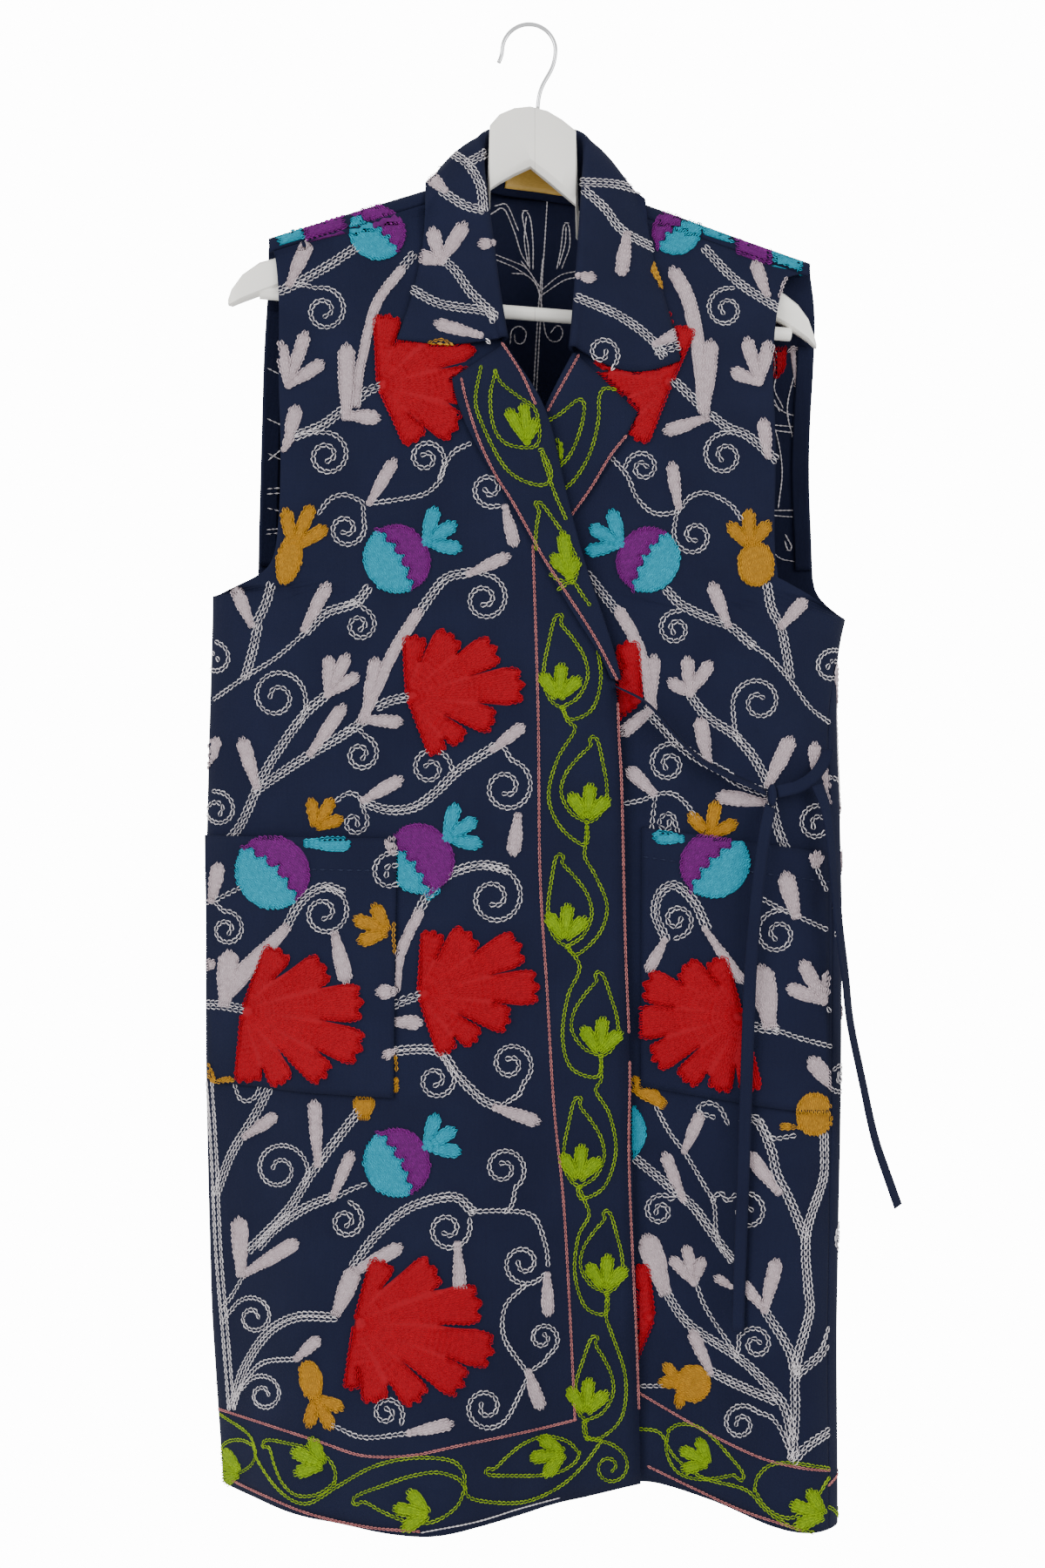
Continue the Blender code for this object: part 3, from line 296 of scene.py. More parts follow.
# ---------------------------------------------------------------- the navy cotton
# A firm plain-woven cotton, dyed navy, a little slubbed, and rubbed paler in soft clouds. Every panel,
# the collar, the pockets and the ties are cut from it.
NAVY_DEEP = (0.0034, 0.0052, 0.0200)
NAVY_RUBBED = (0.0068, 0.0098, 0.0320)
WORN_CLOUDS = 22.0
WORN_STOPS = [(0.35, (0.0, 0.0, 0.0)), (0.75, (1.0, 1.0, 1.0))]
SLUBS = 900.0
SLUB_STRETCH = 0.04
WEAVE_RIBS = {"Scale": 420.0, "Distortion": 0.6, "Detail": 1.0, "Detail Scale": 0.5}
WEAVE_RELIEF = 0.00016
CLOTH_CREASE = 50.0
CLOTH_PANELS = {
    # piece: rounds of smoothing, flat size of the cut, its flat area, how it is held, what it rests on
    "back": (1, (0.560, 1.060), 0.480, "hung", "hanger_body"),
    "front_over": (2, (0.340, 0.980), 0.270, "hung", "back"),
    "front_under": (2, (0.330, 0.980), 0.255, "hung", "back"),
    "lapel_over": (2, (0.075, 0.225), 0.0100, "folded", "front_over"),
    "lapel_under": (2, (0.075, 0.225), 0.0100, "folded", "front_under"),
    "collar": (2, (0.420, 0.110), 0.0440, "folded", "back"),
    "pocket_right": (2, (0.150, 0.190), 0.0270, "stretched", "front_over"),
    "pocket_left": (2, (0.150, 0.195), 0.0270, "stretched", "front_under"),
    "facing_left": (2, (0.014, 0.185), 0.0022, "stretched", "back"),
    "facing_right": (2, (0.014, 0.195), 0.0023, "stretched", "back"),
}
CREASES = (
    # top and bottom (x, z), half width, and depth: a trough from the front, a ridge where negative
    ((-0.205, -0.335), (-0.115, -0.480), 0.020, 0.0030),
    ((-0.180, -0.400), (-0.150, -0.560), 0.018, -0.0022),
    ((0.205, -0.330), (0.120, -0.500), 0.020, 0.0030),
    ((0.165, -0.420), (0.170, -0.590), 0.020, -0.0022),
    ((-0.205, -0.560), (-0.190, -0.900), 0.016, 0.0028),
    ((-0.120, -0.780), (-0.140, -1.110), 0.026, 0.0045),
    ((-0.060, -0.840), (-0.070, -1.120), 0.022, -0.0035),
    ((0.010, -0.860), (0.015, -1.120), 0.018, 0.0030),
    ((0.120, -0.800), (0.140, -1.110), 0.024, 0.0045),
    ((0.185, -0.760), (0.200, -1.100), 0.018, -0.0035),
    ((-0.150, -0.230), (-0.130, -0.360), 0.022, 0.0020),
    ((0.150, -0.230), (0.125, -0.360), 0.022, 0.0020),
    ((-0.020, -0.520), (0.120, -0.560), 0.020, -0.0018),
    ((0.060, -0.600), (0.190, -0.570), 0.014, 0.0024),
)
# how sharply a crease comes in at its top and dies away past its bottom, in shares of its length
CREASE_RISE = 4.0
CREASE_FALL = 6.0
CREASE_END = 1.15
HELD_ABOVE = (-0.24, -0.15)
RIPPLE = 0.0007
RIPPLE_ACROSS = 61.0
RIPPLE_DOWN = 31.0
RIPPLE_WANDER = 23.0


def eased(share):
    return share * share * (3.0 - 2.0 * share)


def crease(made):
    """Lays the garment's soft creases across a piece. Every layer moves alike, so they stay apart."""
    places = np.empty(len(made.data.vertices) * 3)
    made.data.vertices.foreach_get("co", places)
    places = places.reshape(-1, 3)
    across = places[:, 0]
    height = places[:, 2]
    wander = np.sin(RIPPLE_ACROSS * across + 2.0 * np.sin(RIPPLE_WANDER * height))
    shift = RIPPLE * wander * np.sin(RIPPLE_DOWN * height)
    for top, bottom, half_width, depth in CREASES:
        fold = np.array(bottom) - np.array(top)
        along = (places[:, [0, 2]] - np.array(top)) @ fold / (fold @ fold)
        nearest = np.array(top) + np.clip(along, 0.0, 1.0)[:, None] * fold
        apart = np.linalg.norm(places[:, [0, 2]] - nearest, axis=1) / half_width
        rising = np.clip(CREASE_RISE * along, 0.0, 1.0)
        fading = np.clip(CREASE_FALL * (CREASE_END - along), 0.0, 1.0)
        shift += depth * np.exp(-apart**2) * (rising * fading)
    hanging = np.clip((HELD_ABOVE[1] - height) / (HELD_ABOVE[1] - HELD_ABOVE[0]), 0.0, 1.0)
    places[:, 1] += shift * eased(hanging)
    made.data.vertices.foreach_set("co", places.ravel())
    made.data.update()
    return made


navy = Finish("navy_cotton", Roughness=0.82, Specular_IOR_Level=0.14)
navy_cloud = navy.noise(WORN_CLOUDS, 4.0)
slub_up = navy.noise(SLUBS, 2.0, (1.0, 1.0, SLUB_STRETCH))
slub_across = navy.noise(SLUBS, 2.0, (SLUB_STRETCH, 1.0, 1.0))
worn = navy.node("ShaderNodeValToRGB", {"stops": WORN_STOPS}, {0: navy_cloud})
navy.colour(navy.mix(0.45 * worn + 0.28 * slub_up + 0.28 * slub_across, NAVY_DEEP, NAVY_RUBBED))
navy.roughness(0.74 + 0.16 * slub_across)
ribs_up, ribs_across = [
    navy.node("ShaderNodeTexWave", {"bands_direction": axis}, {"Vector": navy.place(), **WEAVE_RIBS}, 1)
    for axis in ("X", "Z")
]
navy.bump(0.5 * ribs_up + 0.5 * ribs_across + 0.6 * slub_up, WEAVE_RELIEF)

cloth = {}
for panel, (smoothing_rounds, flat_size, flat_area, hold, support) in CLOTH_PANELS.items():
    cloth[panel] = dress(crease(softened(panel, smoothing_rounds, CLOTH_CREASE)), navy, panel)

# ---------------------------------------------------------------- the ties
# Two flat ties of the same cotton, folded lengthways and stitched: the outer front's and the side's,
# knotted once at the side, each with its loose end hanging.
TIE_ROUNDS = 2
TIES = {
    # piece: flat size of the cut, its flat area, how it is held, what it rests on
    "tie_over": ((0.010, 0.140), 0.00135, "hung", "front_over"),
    "tie_side": ((0.010, 0.062), 0.00060, "hung", "front_under"),
    "tie_knot": ((0.011, 0.015), 0.00016, "folded", "tie_over"),
    "tie_end_long": ((0.010, 0.385), 0.00380, "hung", "tie_knot"),
    "tie_end_side": ((0.010, 0.315), 0.00311, "hung", "tie_knot"),
}
for tie, (flat_size, flat_area, hold, support) in TIES.items():
    tie_piece = dress(crease(softened(tie, TIE_ROUNDS, CLOTH_CREASE)), navy, tie)

# ---------------------------------------------------------------- the neck label
# A small bare label of yellow satin, stitched into the back of the neck.
LABEL_DEEP = (0.42, 0.24, 0.035)
LABEL_BRIGHT = (0.66, 0.42, 0.085)
SATIN_THREADS = 1400.0
SATIN_STRETCH = (0.03, 1.0, 1.0)
SATIN_RELIEF = 0.00006
LABEL_ROUNDS = 2
satin = Finish("yellow_satin", Roughness=0.45, Sheen_Weight=0.1)
satin_threads = satin.noise(SATIN_THREADS, 2.0, SATIN_STRETCH)
satin.colour(satin.mix(satin_threads, LABEL_DEEP, LABEL_BRIGHT))
satin.roughness(0.38 + 0.14 * satin_threads)
satin.bump(satin_threads, SATIN_RELIEF)
label = dress(softened("label", LABEL_ROUNDS, CLOTH_CREASE), satin, "label")

# ---------------------------------------------------------------- the chain stitch
# The whole pattern is worked by hook in thick cotton chain stitch, loop through loop. A stem is one
#  or two rows with the cloth showing through the loops; leaves and flowers are padded, then filled.
#  The padding is painted darker than the loops, as shade between them.
ROW_GAP = 5.7
ROW_STEP = 1.6
ROW_LIFT = 0.00045
CHAIN_BULGE = ((0.32, 0.70), (0.72, 1.0))
LINK = {
    # loop: length, how far its two strands bow apart, a strand's thickness, and where along it they bow
    "open_loop": (0.0057, 0.00150, 0.00043, CHAIN_BULGE),
    "fine_loop": (0.0046, 0.00105, 0.00042, CHAIN_BULGE),
    "edge_loop": (0.0040, 0.00070, 0.00036, CHAIN_BULGE),
    "tight_loop": (0.0048, 0.00100, 0.00056, ((0.55, 1.0),)),
    "plain_stitch": (0.0048, 0.00024, 0.00036, ((0.5, 1.0),)),
}
# where a strand starts and ends: its share of the bow, and how high above the cloth
STRAND_START = (0.15, -0.0002)
STRAND_END = (0.10, 0.0001)
STRAND_SIDES = 3
STRAND_HEIGHT = 1.1
LOOP_SIZES = (0.90, 1.10)
# each loop's tone is drawn from 0.45 up, so the padding, which carries none, comes out darker between the
# loops: painted shade
LOOP_SHADES = (0.45, 1.0)
COVERS = {
    # what may lie over each panel, as seen from the front
    "front_over": ("pocket_right", "lapel_over", "collar"),
    "front_under": ("front_over", "pocket_left", "lapel_under", "lapel_over", "collar"),
    "lapel_under": ("lapel_over", "front_over"),
    "pocket_left": ("front_over",),
    "back": ("collar", "front_over", "front_under", "lapel_over", "lapel_under"),
}
COVER_GAP = 0.0004
SIDES = {
    # a side of the vest: the eye, the way it looks, and how squarely the cloth must face it
    "front": (EYE, Vector((0.0, 1.0, 0.0)), 0.15),
    "behind": (Vector((EYE.x, -EYE.y, EYE.z)), Vector((0.0, -1.0, 0.0)), 0.5),
    "wearers_left": (Vector((-EYE.y, 0.0, EYE.z)), Vector((-1.0, 0.0, 0.0)), 0.6),
    "wearers_right": (Vector((EYE.y, 0.0, EYE.z)), Vector((1.0, 0.0, 0.0)), 0.5),
}
CURL_PLACES = 26
CURL_EYE = 0.22
CURL_TIGHTENING = 0.85
CURL_JOIN = 6
# all in chart squares: rows in a filled shape, how far they stay from its edge, the shortest row
FILL_GAP = 4.3
FIRST_GAP = 0.8 * FILL_GAP
FILL_INSET = 2.6
SHORTEST_ROW = 4.0
# padding: the net of points in it, how far they stay from its edge, and how it slopes to that edge
PAD_NET = 4.5
PAD_MARGIN = 2.0
PAD_SLOPE = 5.0
PAD_ROUNDING = 0.6
PAD_SHORTEST_EDGE = 0.3
PAD_CLOSE_POINTS = 1e-4
# heights in metres above the cloth
LEAF_LIFT = 0.0009
FLOWER_LIFT = 0.0011
RIM_SHARE = 0.8
PAD_EDGE_SUNK = 0.0002
PAD_FLOOR_SUNK = 0.0003
# a club leaf: places along its middle line, crowded to its tip; its waist and where it is widest; how much
# of it its round tip may take; and how its rows keep in from its edge, in chart squares
LEAF_PLACES = 18
LEAF_BEND_PLACES = 6
LEAF_CROWDING = 1.5
LEAF_WAIST = 0.58
LEAF_WIDEST = 0.6
LEAF_TIP = (0.05, 0.45)
LEAF_TIP_BLUNTNESS = 1.02
LEAF_ROWS_WITHIN = 3.0
LEAF_ROW_INSET = 2.2
LEAF_ROW_LEAST = 0.3
LEAF_ROW_CLEARANCE = 1.6
LEAF_FOOT = 0.3
# a trefoil, in shares of its size
TREFOIL_REACHES = (0.86, 1.0, 0.86)
TREFOIL_FOOT = 0.10
TREFOIL_WAIST = 0.72
TREFOIL_LEAF_WIDTH = 0.40
TREFOIL_SPREAD = 40.0
TINY = 1e-9

bpy.context.view_layer.update()
depsgraph = bpy.context.evaluated_depsgraph_get()
faces_of = {panel: BVHTree.FromObject(made, depsgraph) for panel, made in cloth.items()}


def on_panel(panel, square, side):
    """The place and outward direction on a panel at a chart square, unless another piece covers it."""
    eye, way, least_facing = SIDES[side]
    across = (square[0] - CHART_MIDDLE[0]) / CHART_SQUARES
    drop = (square[1] - CHART_MIDDLE[1]) / CHART_SQUARES
    ray = (way + Vector((way.y, -way.x, 0.0)) * across - Vector((0.0, 0.0, drop))).normalized()
    place, outward, _, reach = faces_of[panel].ray_cast(eye, ray)
    if place is None or abs(outward.dot(ray)) < least_facing:
        return None
    for cover in COVERS.get(panel, ()) if side == "front" else ():
        if faces_of[cover].ray_cast(eye, ray, reach - COVER_GAP)[0] is not None:
            return None
    return place, outward


def through(points):
    """A smooth line through points, with a place at each step."""
    points = np.asarray(points, dtype=float)
    if len(points) == 2:
        count = max(int(np.linalg.norm(points[1] - points[0]) / ROW_STEP), 2)
        return points[0] + (points[1] - points[0]) * np.linspace(0.0, 1.0, count)[:, None]
    padded = np.vstack([2.0 * points[0] - points[1], points, 2.0 * points[-1] - points[-2]])
    places = []
    for before, start, end, after in zip(padded, padded[1:], padded[2:], padded[3:]):
        count = max(int(np.linalg.norm(end - start) / ROW_STEP), 1)
        part = np.linspace(0.0, 1.0, count, endpoint=False)[:, None]
        places.append(start + 0.5 * part * (
            end - before + part * (2.0 * before - 5.0 * start + 4.0 * end - after
                                   + part * (3.0 * (start - end) + after - before))))
    return np.vstack([*places, points[-1:]])


def beside(line, offset):
    """A line moved sideways by an offset."""
    heading = np.gradient(line, axis=0)
    heading = heading / np.maximum(np.linalg.norm(heading, axis=1, keepdims=True), TINY)
    return line + np.stack([-heading[:, 1], heading[:, 0]], axis=1) * np.reshape(offset, (-1, 1))


def towards(heading):
    """A step of one square at a heading, in degrees clockwise from the right."""
    turned = math.radians(heading)
    return np.array([math.cos(turned), math.sin(turned)])


def curl(centre, radius, start, turns):
    """A curl's line from its outside inward: its start is a heading, and its turns run clockwise."""
    share = np.linspace(0.0, 1.0, CURL_PLACES)
    reach = radius * (1.0 - (1.0 - CURL_EYE) * share**CURL_TIGHTENING)
    turned = math.radians(start) + 2.0 * math.pi * turns * share
    return np.stack([centre[0] + reach * np.cos(turned), centre[1] + reach * np.sin(turned)], axis=1)


class Needlework:
    """What one thread works on one panel: rows of loops, and padding under the filled shapes."""

    def __init__(self, panel, side):
        self.panel = panel
        self.side = side
        self.rows = []
        self.pads = []

    def row(self, squares, lift=ROW_LIFT):
        """One row of loops, broken wherever the panel ends or something covers it."""
        run = []
        for square in squares:
            found = on_panel(self.panel, square, self.side)
            if found is None:
                self.keep(run)
                run = []
            else:
                run.append((found[0] + found[1] * lift, found[1]))
        self.keep(run)

    def keep(self, run):
        if len(run) > 2:
            self.rows.append(run)

    def stem(self, points, rows=1, curled=None):
        """A stem of one or more rows through points, that may end in a curl."""
        line = through(points) if len(points) > 1 else np.asarray(points, dtype=float)
        if curled:
            reached = line[::CURL_JOIN] if len(line) > CURL_JOIN else line[:0]
            line = through(np.vstack([reached, curl(*curled)]))
        for index in range(rows):
            self.row(beside(line, (index - (rows - 1) / 2.0) * ROW_GAP))

    def bud(self, base, tip, width, waist=LEAF_WAIST, by=()):
        """A club-shaped leaf, widest near its round tip, filled with rows along it."""
        line = through([base, *by, tip])
        shares = np.linspace(0.0, 1.0, LEAF_PLACES + LEAF_BEND_PLACES * len(by))
        part = 1.0 - (1.0 - shares) ** LEAF_CROWDING
        steps = np.arange(len(line))
        spine = np.stack([np.interp(part * steps[-1], steps, line[:, axis]) for axis in (0, 1)], axis=1)
        half = width / 2.0 * (waist + (1.0 - waist) * eased(np.clip(part / LEAF_WIDEST, 0.0, 1.0)))
        cap = np.clip(0.5 * width / (ROW_STEP * steps[-1]), *LEAF_TIP)
        into_tip = np.clip((part - 1.0 + cap) / (cap * LEAF_TIP_BLUNTNESS), 0.0, 1.0)
        rounded = half * np.sqrt(1.0 - into_tip**2)
        self.pad(np.vstack([beside(spine, rounded), beside(spine, -rounded)[::-1]]), LEAF_LIFT)
        count = max(int(round((width - LEAF_ROWS_WITHIN) / FILL_GAP)) + 1, 2)
        for share in np.linspace(-1.0, 1.0, count):
            offset = np.maximum(half - LEAF_ROW_INSET, LEAF_ROW_LEAST) * share
            inner = (np.abs(offset) < rounded - LEAF_ROW_CLEARANCE) | (part < LEAF_FOOT)
            self.row(through(beside(spine, offset)[inner]), LEAF_LIFT)

    def trefoil(self, base, heading, size, spread=TREFOIL_SPREAD, width=TREFOIL_LEAF_WIDTH):
        """Three blunt leaves that share a broad foot."""
        base = np.asarray(base)
        for index, reach in enumerate(TREFOIL_REACHES):
            way = towards(heading + spread * (index - 1.0)) * size
            self.bud(base + way * TREFOIL_FOOT, base + way * reach, size * width, TREFOIL_WAIST)

    def patch(self, outline, heading):
        """A padded shape filled with straight rows at a heading, with one more row round its edge."""
        self.pad(outline, FLOWER_LIFT)
        outline = np.asarray(outline, dtype=float)
        along = towards(heading)
        places = outline @ along
        aside = np.array([-along[1], along[0]])
        offsets = outline @ aside
        after = np.roll(np.arange(len(outline)), -1)
        first = offsets.min() + FILL_INSET + FIRST_GAP
        for offset in np.arange(first, offsets.max() - FILL_INSET, FILL_GAP):
            crossed = (offsets > offset) != (offsets[after] > offset)
            share = (offset - offsets[crossed]) / (offsets[after][crossed] - offsets[crossed])
            cuts = np.sort(places[crossed] + share * (places[after][crossed] - places[crossed]))
            for start, end in zip(cuts[::2], cuts[1::2]):
                if end - start > 2.0 * FILL_INSET + SHORTEST_ROW:
                    ends = np.array([[start + FILL_INSET], [end - FILL_INSET]])
                    self.row(through(along * ends + aside * offset), FLOWER_LIFT)
        ring = np.vstack([outline, outline[:2]])
        turn = 1.0 if signed_area(outline) > 0.0 else -1.0
        self.row(beside(ring, FILL_INSET * turn), FLOWER_LIFT * RIM_SHARE)

    def pad(self, outline, height):
        """Padding under a filled shape: it rises from its edge and is closed underneath."""
        outline = np.asarray(outline, dtype=float)
        edge_lengths = np.linalg.norm(outline - np.roll(outline, 1, axis=0), axis=1)
        outline = outline[edge_lengths > PAD_SHORTEST_EDGE]
        low = outline.min(axis=0)
        high = outline.max(axis=0)
        across = np.arange(low[0] + PAD_MARGIN, high[0], PAD_NET)
        down = np.arange(low[1] + PAD_MARGIN, high[1], PAD_NET)
        net = np.array([(x, y) for x in across for y in down]).reshape(-1, 2)
        net = net[edge_distance(net, outline) > PAD_MARGIN]
        corners = [Vector(point) for point in np.vstack([outline, net])]
        edges = [(index, (index + 1) % len(outline)) for index in range(len(outline))]
        flat, _, faces, _, _, _ = delaunay_2d_cdt(corners, edges, [], 1, PAD_CLOSE_POINTS)
        reach = edge_distance(np.array([tuple(point) for point in flat]), outline)
        found = [on_panel(self.panel, point, self.side) for point in flat]
        self.pads.append((found, np.clip(reach / PAD_SLOPE, 0.0, 1.0) ** PAD_ROUNDING * height, faces))


def signed_area(outline):
    following = np.roll(outline, -1, axis=0)
    return float(np.sum(outline[:, 0] * following[:, 1] - following[:, 0] * outline[:, 1])) / 2.0


def edge_distance(points, outline):
    """How far each point lies inside an outline; 0 or less outside."""
    start = outline
    end = np.roll(outline, -1, axis=0)
    span = end - start
    reach = points[:, None, :] - start[None]
    span_squared = np.maximum(np.sum(span * span, axis=1), TINY)
    part = np.clip(np.sum(reach * span, axis=2) / span_squared, 0.0, 1.0)
    nearest = np.linalg.norm(reach - part[..., None] * span, axis=2).min(axis=1)
    rising = (start[:, 1] > points[:, None, 1]) != (end[:, 1] > points[:, None, 1])
    slope = span[:, 0] / np.where(np.abs(span[:, 1]) < TINY, TINY, span[:, 1])
    crossings = rising & (points[:, None, 0] < start[:, 0] + (points[:, None, 1] - start[:, 1]) * slope)
    return np.where(crossings.sum(axis=1) % 2 == 1, nearest, -nearest)


def loop_shape(name, length, bow, thickness, places):
    """One loop of the chain, along +X with +Z out of the cloth: two strands that part and meet again."""
    shape = bmesh.new()
    turns = [math.radians(90.0 + 360.0 / STRAND_SIDES * corner) for corner in range(STRAND_SIDES)]
    for side in (-1.0, 1.0):
        rings = []
        for share, apart in places:
            centre = Vector((length * (share - 0.5), bow * apart * side, 0.0))
            rings.append([
                shape.verts.new(centre + Vector((
                    0.0, math.cos(turn) * thickness, math.sin(turn) * thickness * STRAND_HEIGHT
                ))) for turn in turns
            ])
        first = shape.verts.new((-0.5 * length, STRAND_START[0] * bow * side, STRAND_START[1]))
        last = shape.verts.new((0.5 * length, STRAND_END[0] * bow * side, STRAND_END[1]))
        for corner in range(STRAND_SIDES):
            after = (corner + 1) % STRAND_SIDES
            shape.faces.new((first, rings[0][after], rings[0][corner]))
            for near, far in zip(rings, rings[1:]):
                shape.faces.new((near[corner], near[after], far[after], far[corner]))
            shape.faces.new((last, rings[-1][corner], rings[-1][after]))
    bmesh.ops.recalc_face_normals(shape, faces=shape.faces)
    mesh = bpy.data.meshes.new(name)
    shape.to_mesh(mesh)
    shape.free()
    mesh.shade_smooth()
    made = placed(name, mesh)
    made.hide_render = made.hide_viewport = True
    return made


def chain_tree():
    """Loops set along the edges of a mesh, one at each pitch, turned to the row and to the cloth."""
    tree = bpy.data.node_groups.new("chain_stitch", "GeometryNodeTree")
    tree.interface.new_socket("Rows", in_out="INPUT", socket_type="NodeSocketGeometry")
    sockets = {}
    for name, kind in (("Loop", "Object"), ("Pitch", "Float"), ("Seed", "Int"), ("Finish", "Material")):
        made = tree.interface.new_socket(name, in_out="INPUT", socket_type="NodeSocket" + kind)
        sockets[name] = made.identifier
    tree.interface.new_socket("Stitches", in_out="OUTPUT", socket_type="NodeSocketGeometry")

    def node(kind, settings, inputs):
        made = tree.nodes.new(kind)
        for setting, value in settings.items():
            setattr(made, setting, value)
        for socket, value in inputs.items():
            if isinstance(value, bpy.types.NodeSocket):
                tree.links.new(value, made.inputs[socket])
            else:
                made.inputs[socket].default_value = value
        return made

    def chance(low, high):
        """A random number for each loop."""
        inputs = {2: low, 3: high, "Seed": given["Seed"]}
        return node("FunctionNodeRandomValue", {"data_type": "FLOAT"}, inputs).outputs[1]

    given = node("NodeGroupInput", {}, {}).outputs
    lines = node("GeometryNodeMeshToCurve", {}, {"Mesh": given["Rows"]})
    spaced = node(
        "GeometryNodeResampleCurve", {"mode": "LENGTH"},
        {"Curve": lines.outputs[0], "Length": given["Pitch"]},
    )
    places = node("GeometryNodeCurveToPoints", {"mode": "EVALUATED"}, {"Curve": spaced.outputs[0]})
    outward = node("GeometryNodeInputNamedAttribute", {"data_type": "FLOAT_VECTOR"}, {"Name": "outward"})
    turned = node(
        "FunctionNodeAxesToRotation", {"primary_axis": "X", "secondary_axis": "Z"},
        {"Primary Axis": places.outputs["Tangent"], "Secondary Axis": outward.outputs[0]},
    )
    size = chance(*LOOP_SIZES)
    shape = node("GeometryNodeObjectInfo", {}, {"Object": given["Loop"]})
    set_down = node("GeometryNodeInstanceOnPoints", {}, {
        "Points": places.outputs["Points"], "Instance": shape.outputs["Geometry"],
        "Rotation": turned.outputs[0], "Scale": size,
    })
    shaded = node(
        "GeometryNodeStoreNamedAttribute", {"data_type": "FLOAT", "domain": "INSTANCE"},
        {"Geometry": set_down.outputs[0], "Name": "shade", "Value": chance(*LOOP_SHADES)},
    )
    real = node("GeometryNodeRealizeInstances", {}, {"Geometry": shaded.outputs[0]})
    finished = node(
        "GeometryNodeSetMaterial", {}, {"Geometry": real.outputs[0], "Material": given["Finish"]}
    )
    node("NodeGroupOutput", {}, {"Stitches": finished.outputs[0]})
    return tree, sockets


loops = {name: loop_shape(name, *sizes) for name, sizes in LINK.items()}
stitch_tree, stitch_sockets = chain_tree()


def sew(name, work, finish, loop, pitch):
    """Makes the pieces of one thread: its rows of loops as one mesh and its padding as another."""
    points = []
    outward = []
    edges = []
    for run in work.rows:
        edges += [(len(points) + index, len(points) + index + 1) for index in range(len(run) - 1)]
        points += [place for place, _ in run]
        outward += [direction for _, direction in run]
    if points:
        rows = bpy.data.meshes.new(name)
        rows.from_pydata(points, edges, [])
        held = rows.attributes.new("outward", "FLOAT_VECTOR", "POINT")
        held.data.foreach_set("vector", np.array(outward, dtype=np.float32).ravel())
        made = placed(name, rows)
        worked = made.modifiers.new("stitches", "NODES")
        worked.node_group = stitch_tree
        worked[stitch_sockets["Loop"]] = loops[loop]
        worked[stitch_sockets["Pitch"]] = pitch
        worked[stitch_sockets["Seed"]] = sum(map(ord, name))
        worked[stitch_sockets["Finish"]] = finish.material
        made.update_tag()
        bpy.context.view_layer.update()
        dress(settle(made), finish)
    lay_padding(name + "_padding", work, finish)


def lay_padding(name, work, finish):
    """Lays a needlework's pads as one closed piece, each with its upper face and its under face."""
    points = []
    faces = []
    for found, heights, triangles in work.pads:
        above = {}
        below = {}
        for index, (place, height) in enumerate(zip(found, heights)):
            if place is None:
                continue
            points.append(place[0] + place[1] * (height if height > 0.0 else -PAD_EDGE_SUNK))
            above[index] = below[index] = len(points) - 1
            if height > 0.0:
                points.append(place[0] - place[1] * PAD_FLOOR_SUNK)
                below[index] = len(points) - 1
        for triangle in triangles:
            if not all(index in above for index in triangle):
                continue
            upper = [above[index] for index in triangle]
            lower = [below[index] for index in triangle]
            edge = Vector(points[upper[1]]) - Vector(points[upper[0]])
            normal = edge.cross(Vector(points[upper[2]]) - Vector(points[upper[0]]))
            if normal.dot(found[triangle[0]][1]) < 0.0:
                upper = upper[::-1]
                lower = lower[::-1]
            faces += [upper, lower[::-1]]
    if faces:
        mesh = bpy.data.meshes.new(name)
        mesh.from_pydata(points, [], faces)
        mesh.shade_smooth()
        # the padding takes its thread's finish without a shade attribute, so it is painted darker, as shade
        # between the loops
        dress(placed(name, mesh), finish)


# ---------------------------------------------------------------- the threads
# Nine cottons: an undyed white and a greyer lilac, a deep red, turquoise, purple, gold and green, a
# thin pink for the edges, and navy for the seams.
THREAD_SLUBS = 500.0
THREAD_FUZZ = 300.0
THREAD_TWIST = 2600.0
THREAD_RELIEF = 0.00025
TWIST_STRENGTH = 0.8


def thread(name, deep, bright):
    """Soft cotton embroidery thread: each loop a little lighter or darker, with a fine twist."""
    made = Finish(name, Roughness=0.78, Specular_IOR_Level=0.2)
    shade = made.node("ShaderNodeAttribute", {"attribute_name": "shade"}, {}, "Fac")
    # the padding carries no shade attribute, so it mixes towards the deep colour: painted shade between the
    # loops; each loop's own shade is a random tone
    made.colour(made.mix(0.55 * shade + 0.45 * made.noise(THREAD_SLUBS), deep, bright))
    made.roughness(0.70 + 0.15 * made.noise(THREAD_FUZZ))
    made.bump(made.noise(THREAD_TWIST), THREAD_RELIEF, TWIST_STRENGTH)
    return made


WHITE = thread("white_thread", (0.42, 0.39, 0.42), (0.88, 0.84, 0.86))
LILAC = thread("lilac_thread", (0.26, 0.20, 0.22), (0.74, 0.63, 0.66))
RED = thread("red_thread", (0.20, 0.0, 0.004), (0.50, 0.0, 0.014))
TURQUOISE = thread("turquoise_thread", (0.001, 0.12, 0.19), (0.016, 0.50, 0.66))
PURPLE = thread("purple_thread", (0.045, 0.001, 0.055), (0.26, 0.010, 0.27))
GOLD = thread("gold_thread", (0.18, 0.075, 0.002), (0.66, 0.34, 0.022))
GREEN = thread("green_thread", (0.07, 0.14, 0.0004), (0.35, 0.54, 0.004))
PINK = thread("pink_thread", (0.36, 0.10, 0.10), (0.62, 0.24, 0.23))
NAVY = thread("navy_thread", (0.010, 0.014, 0.040), (0.030, 0.038, 0.085))
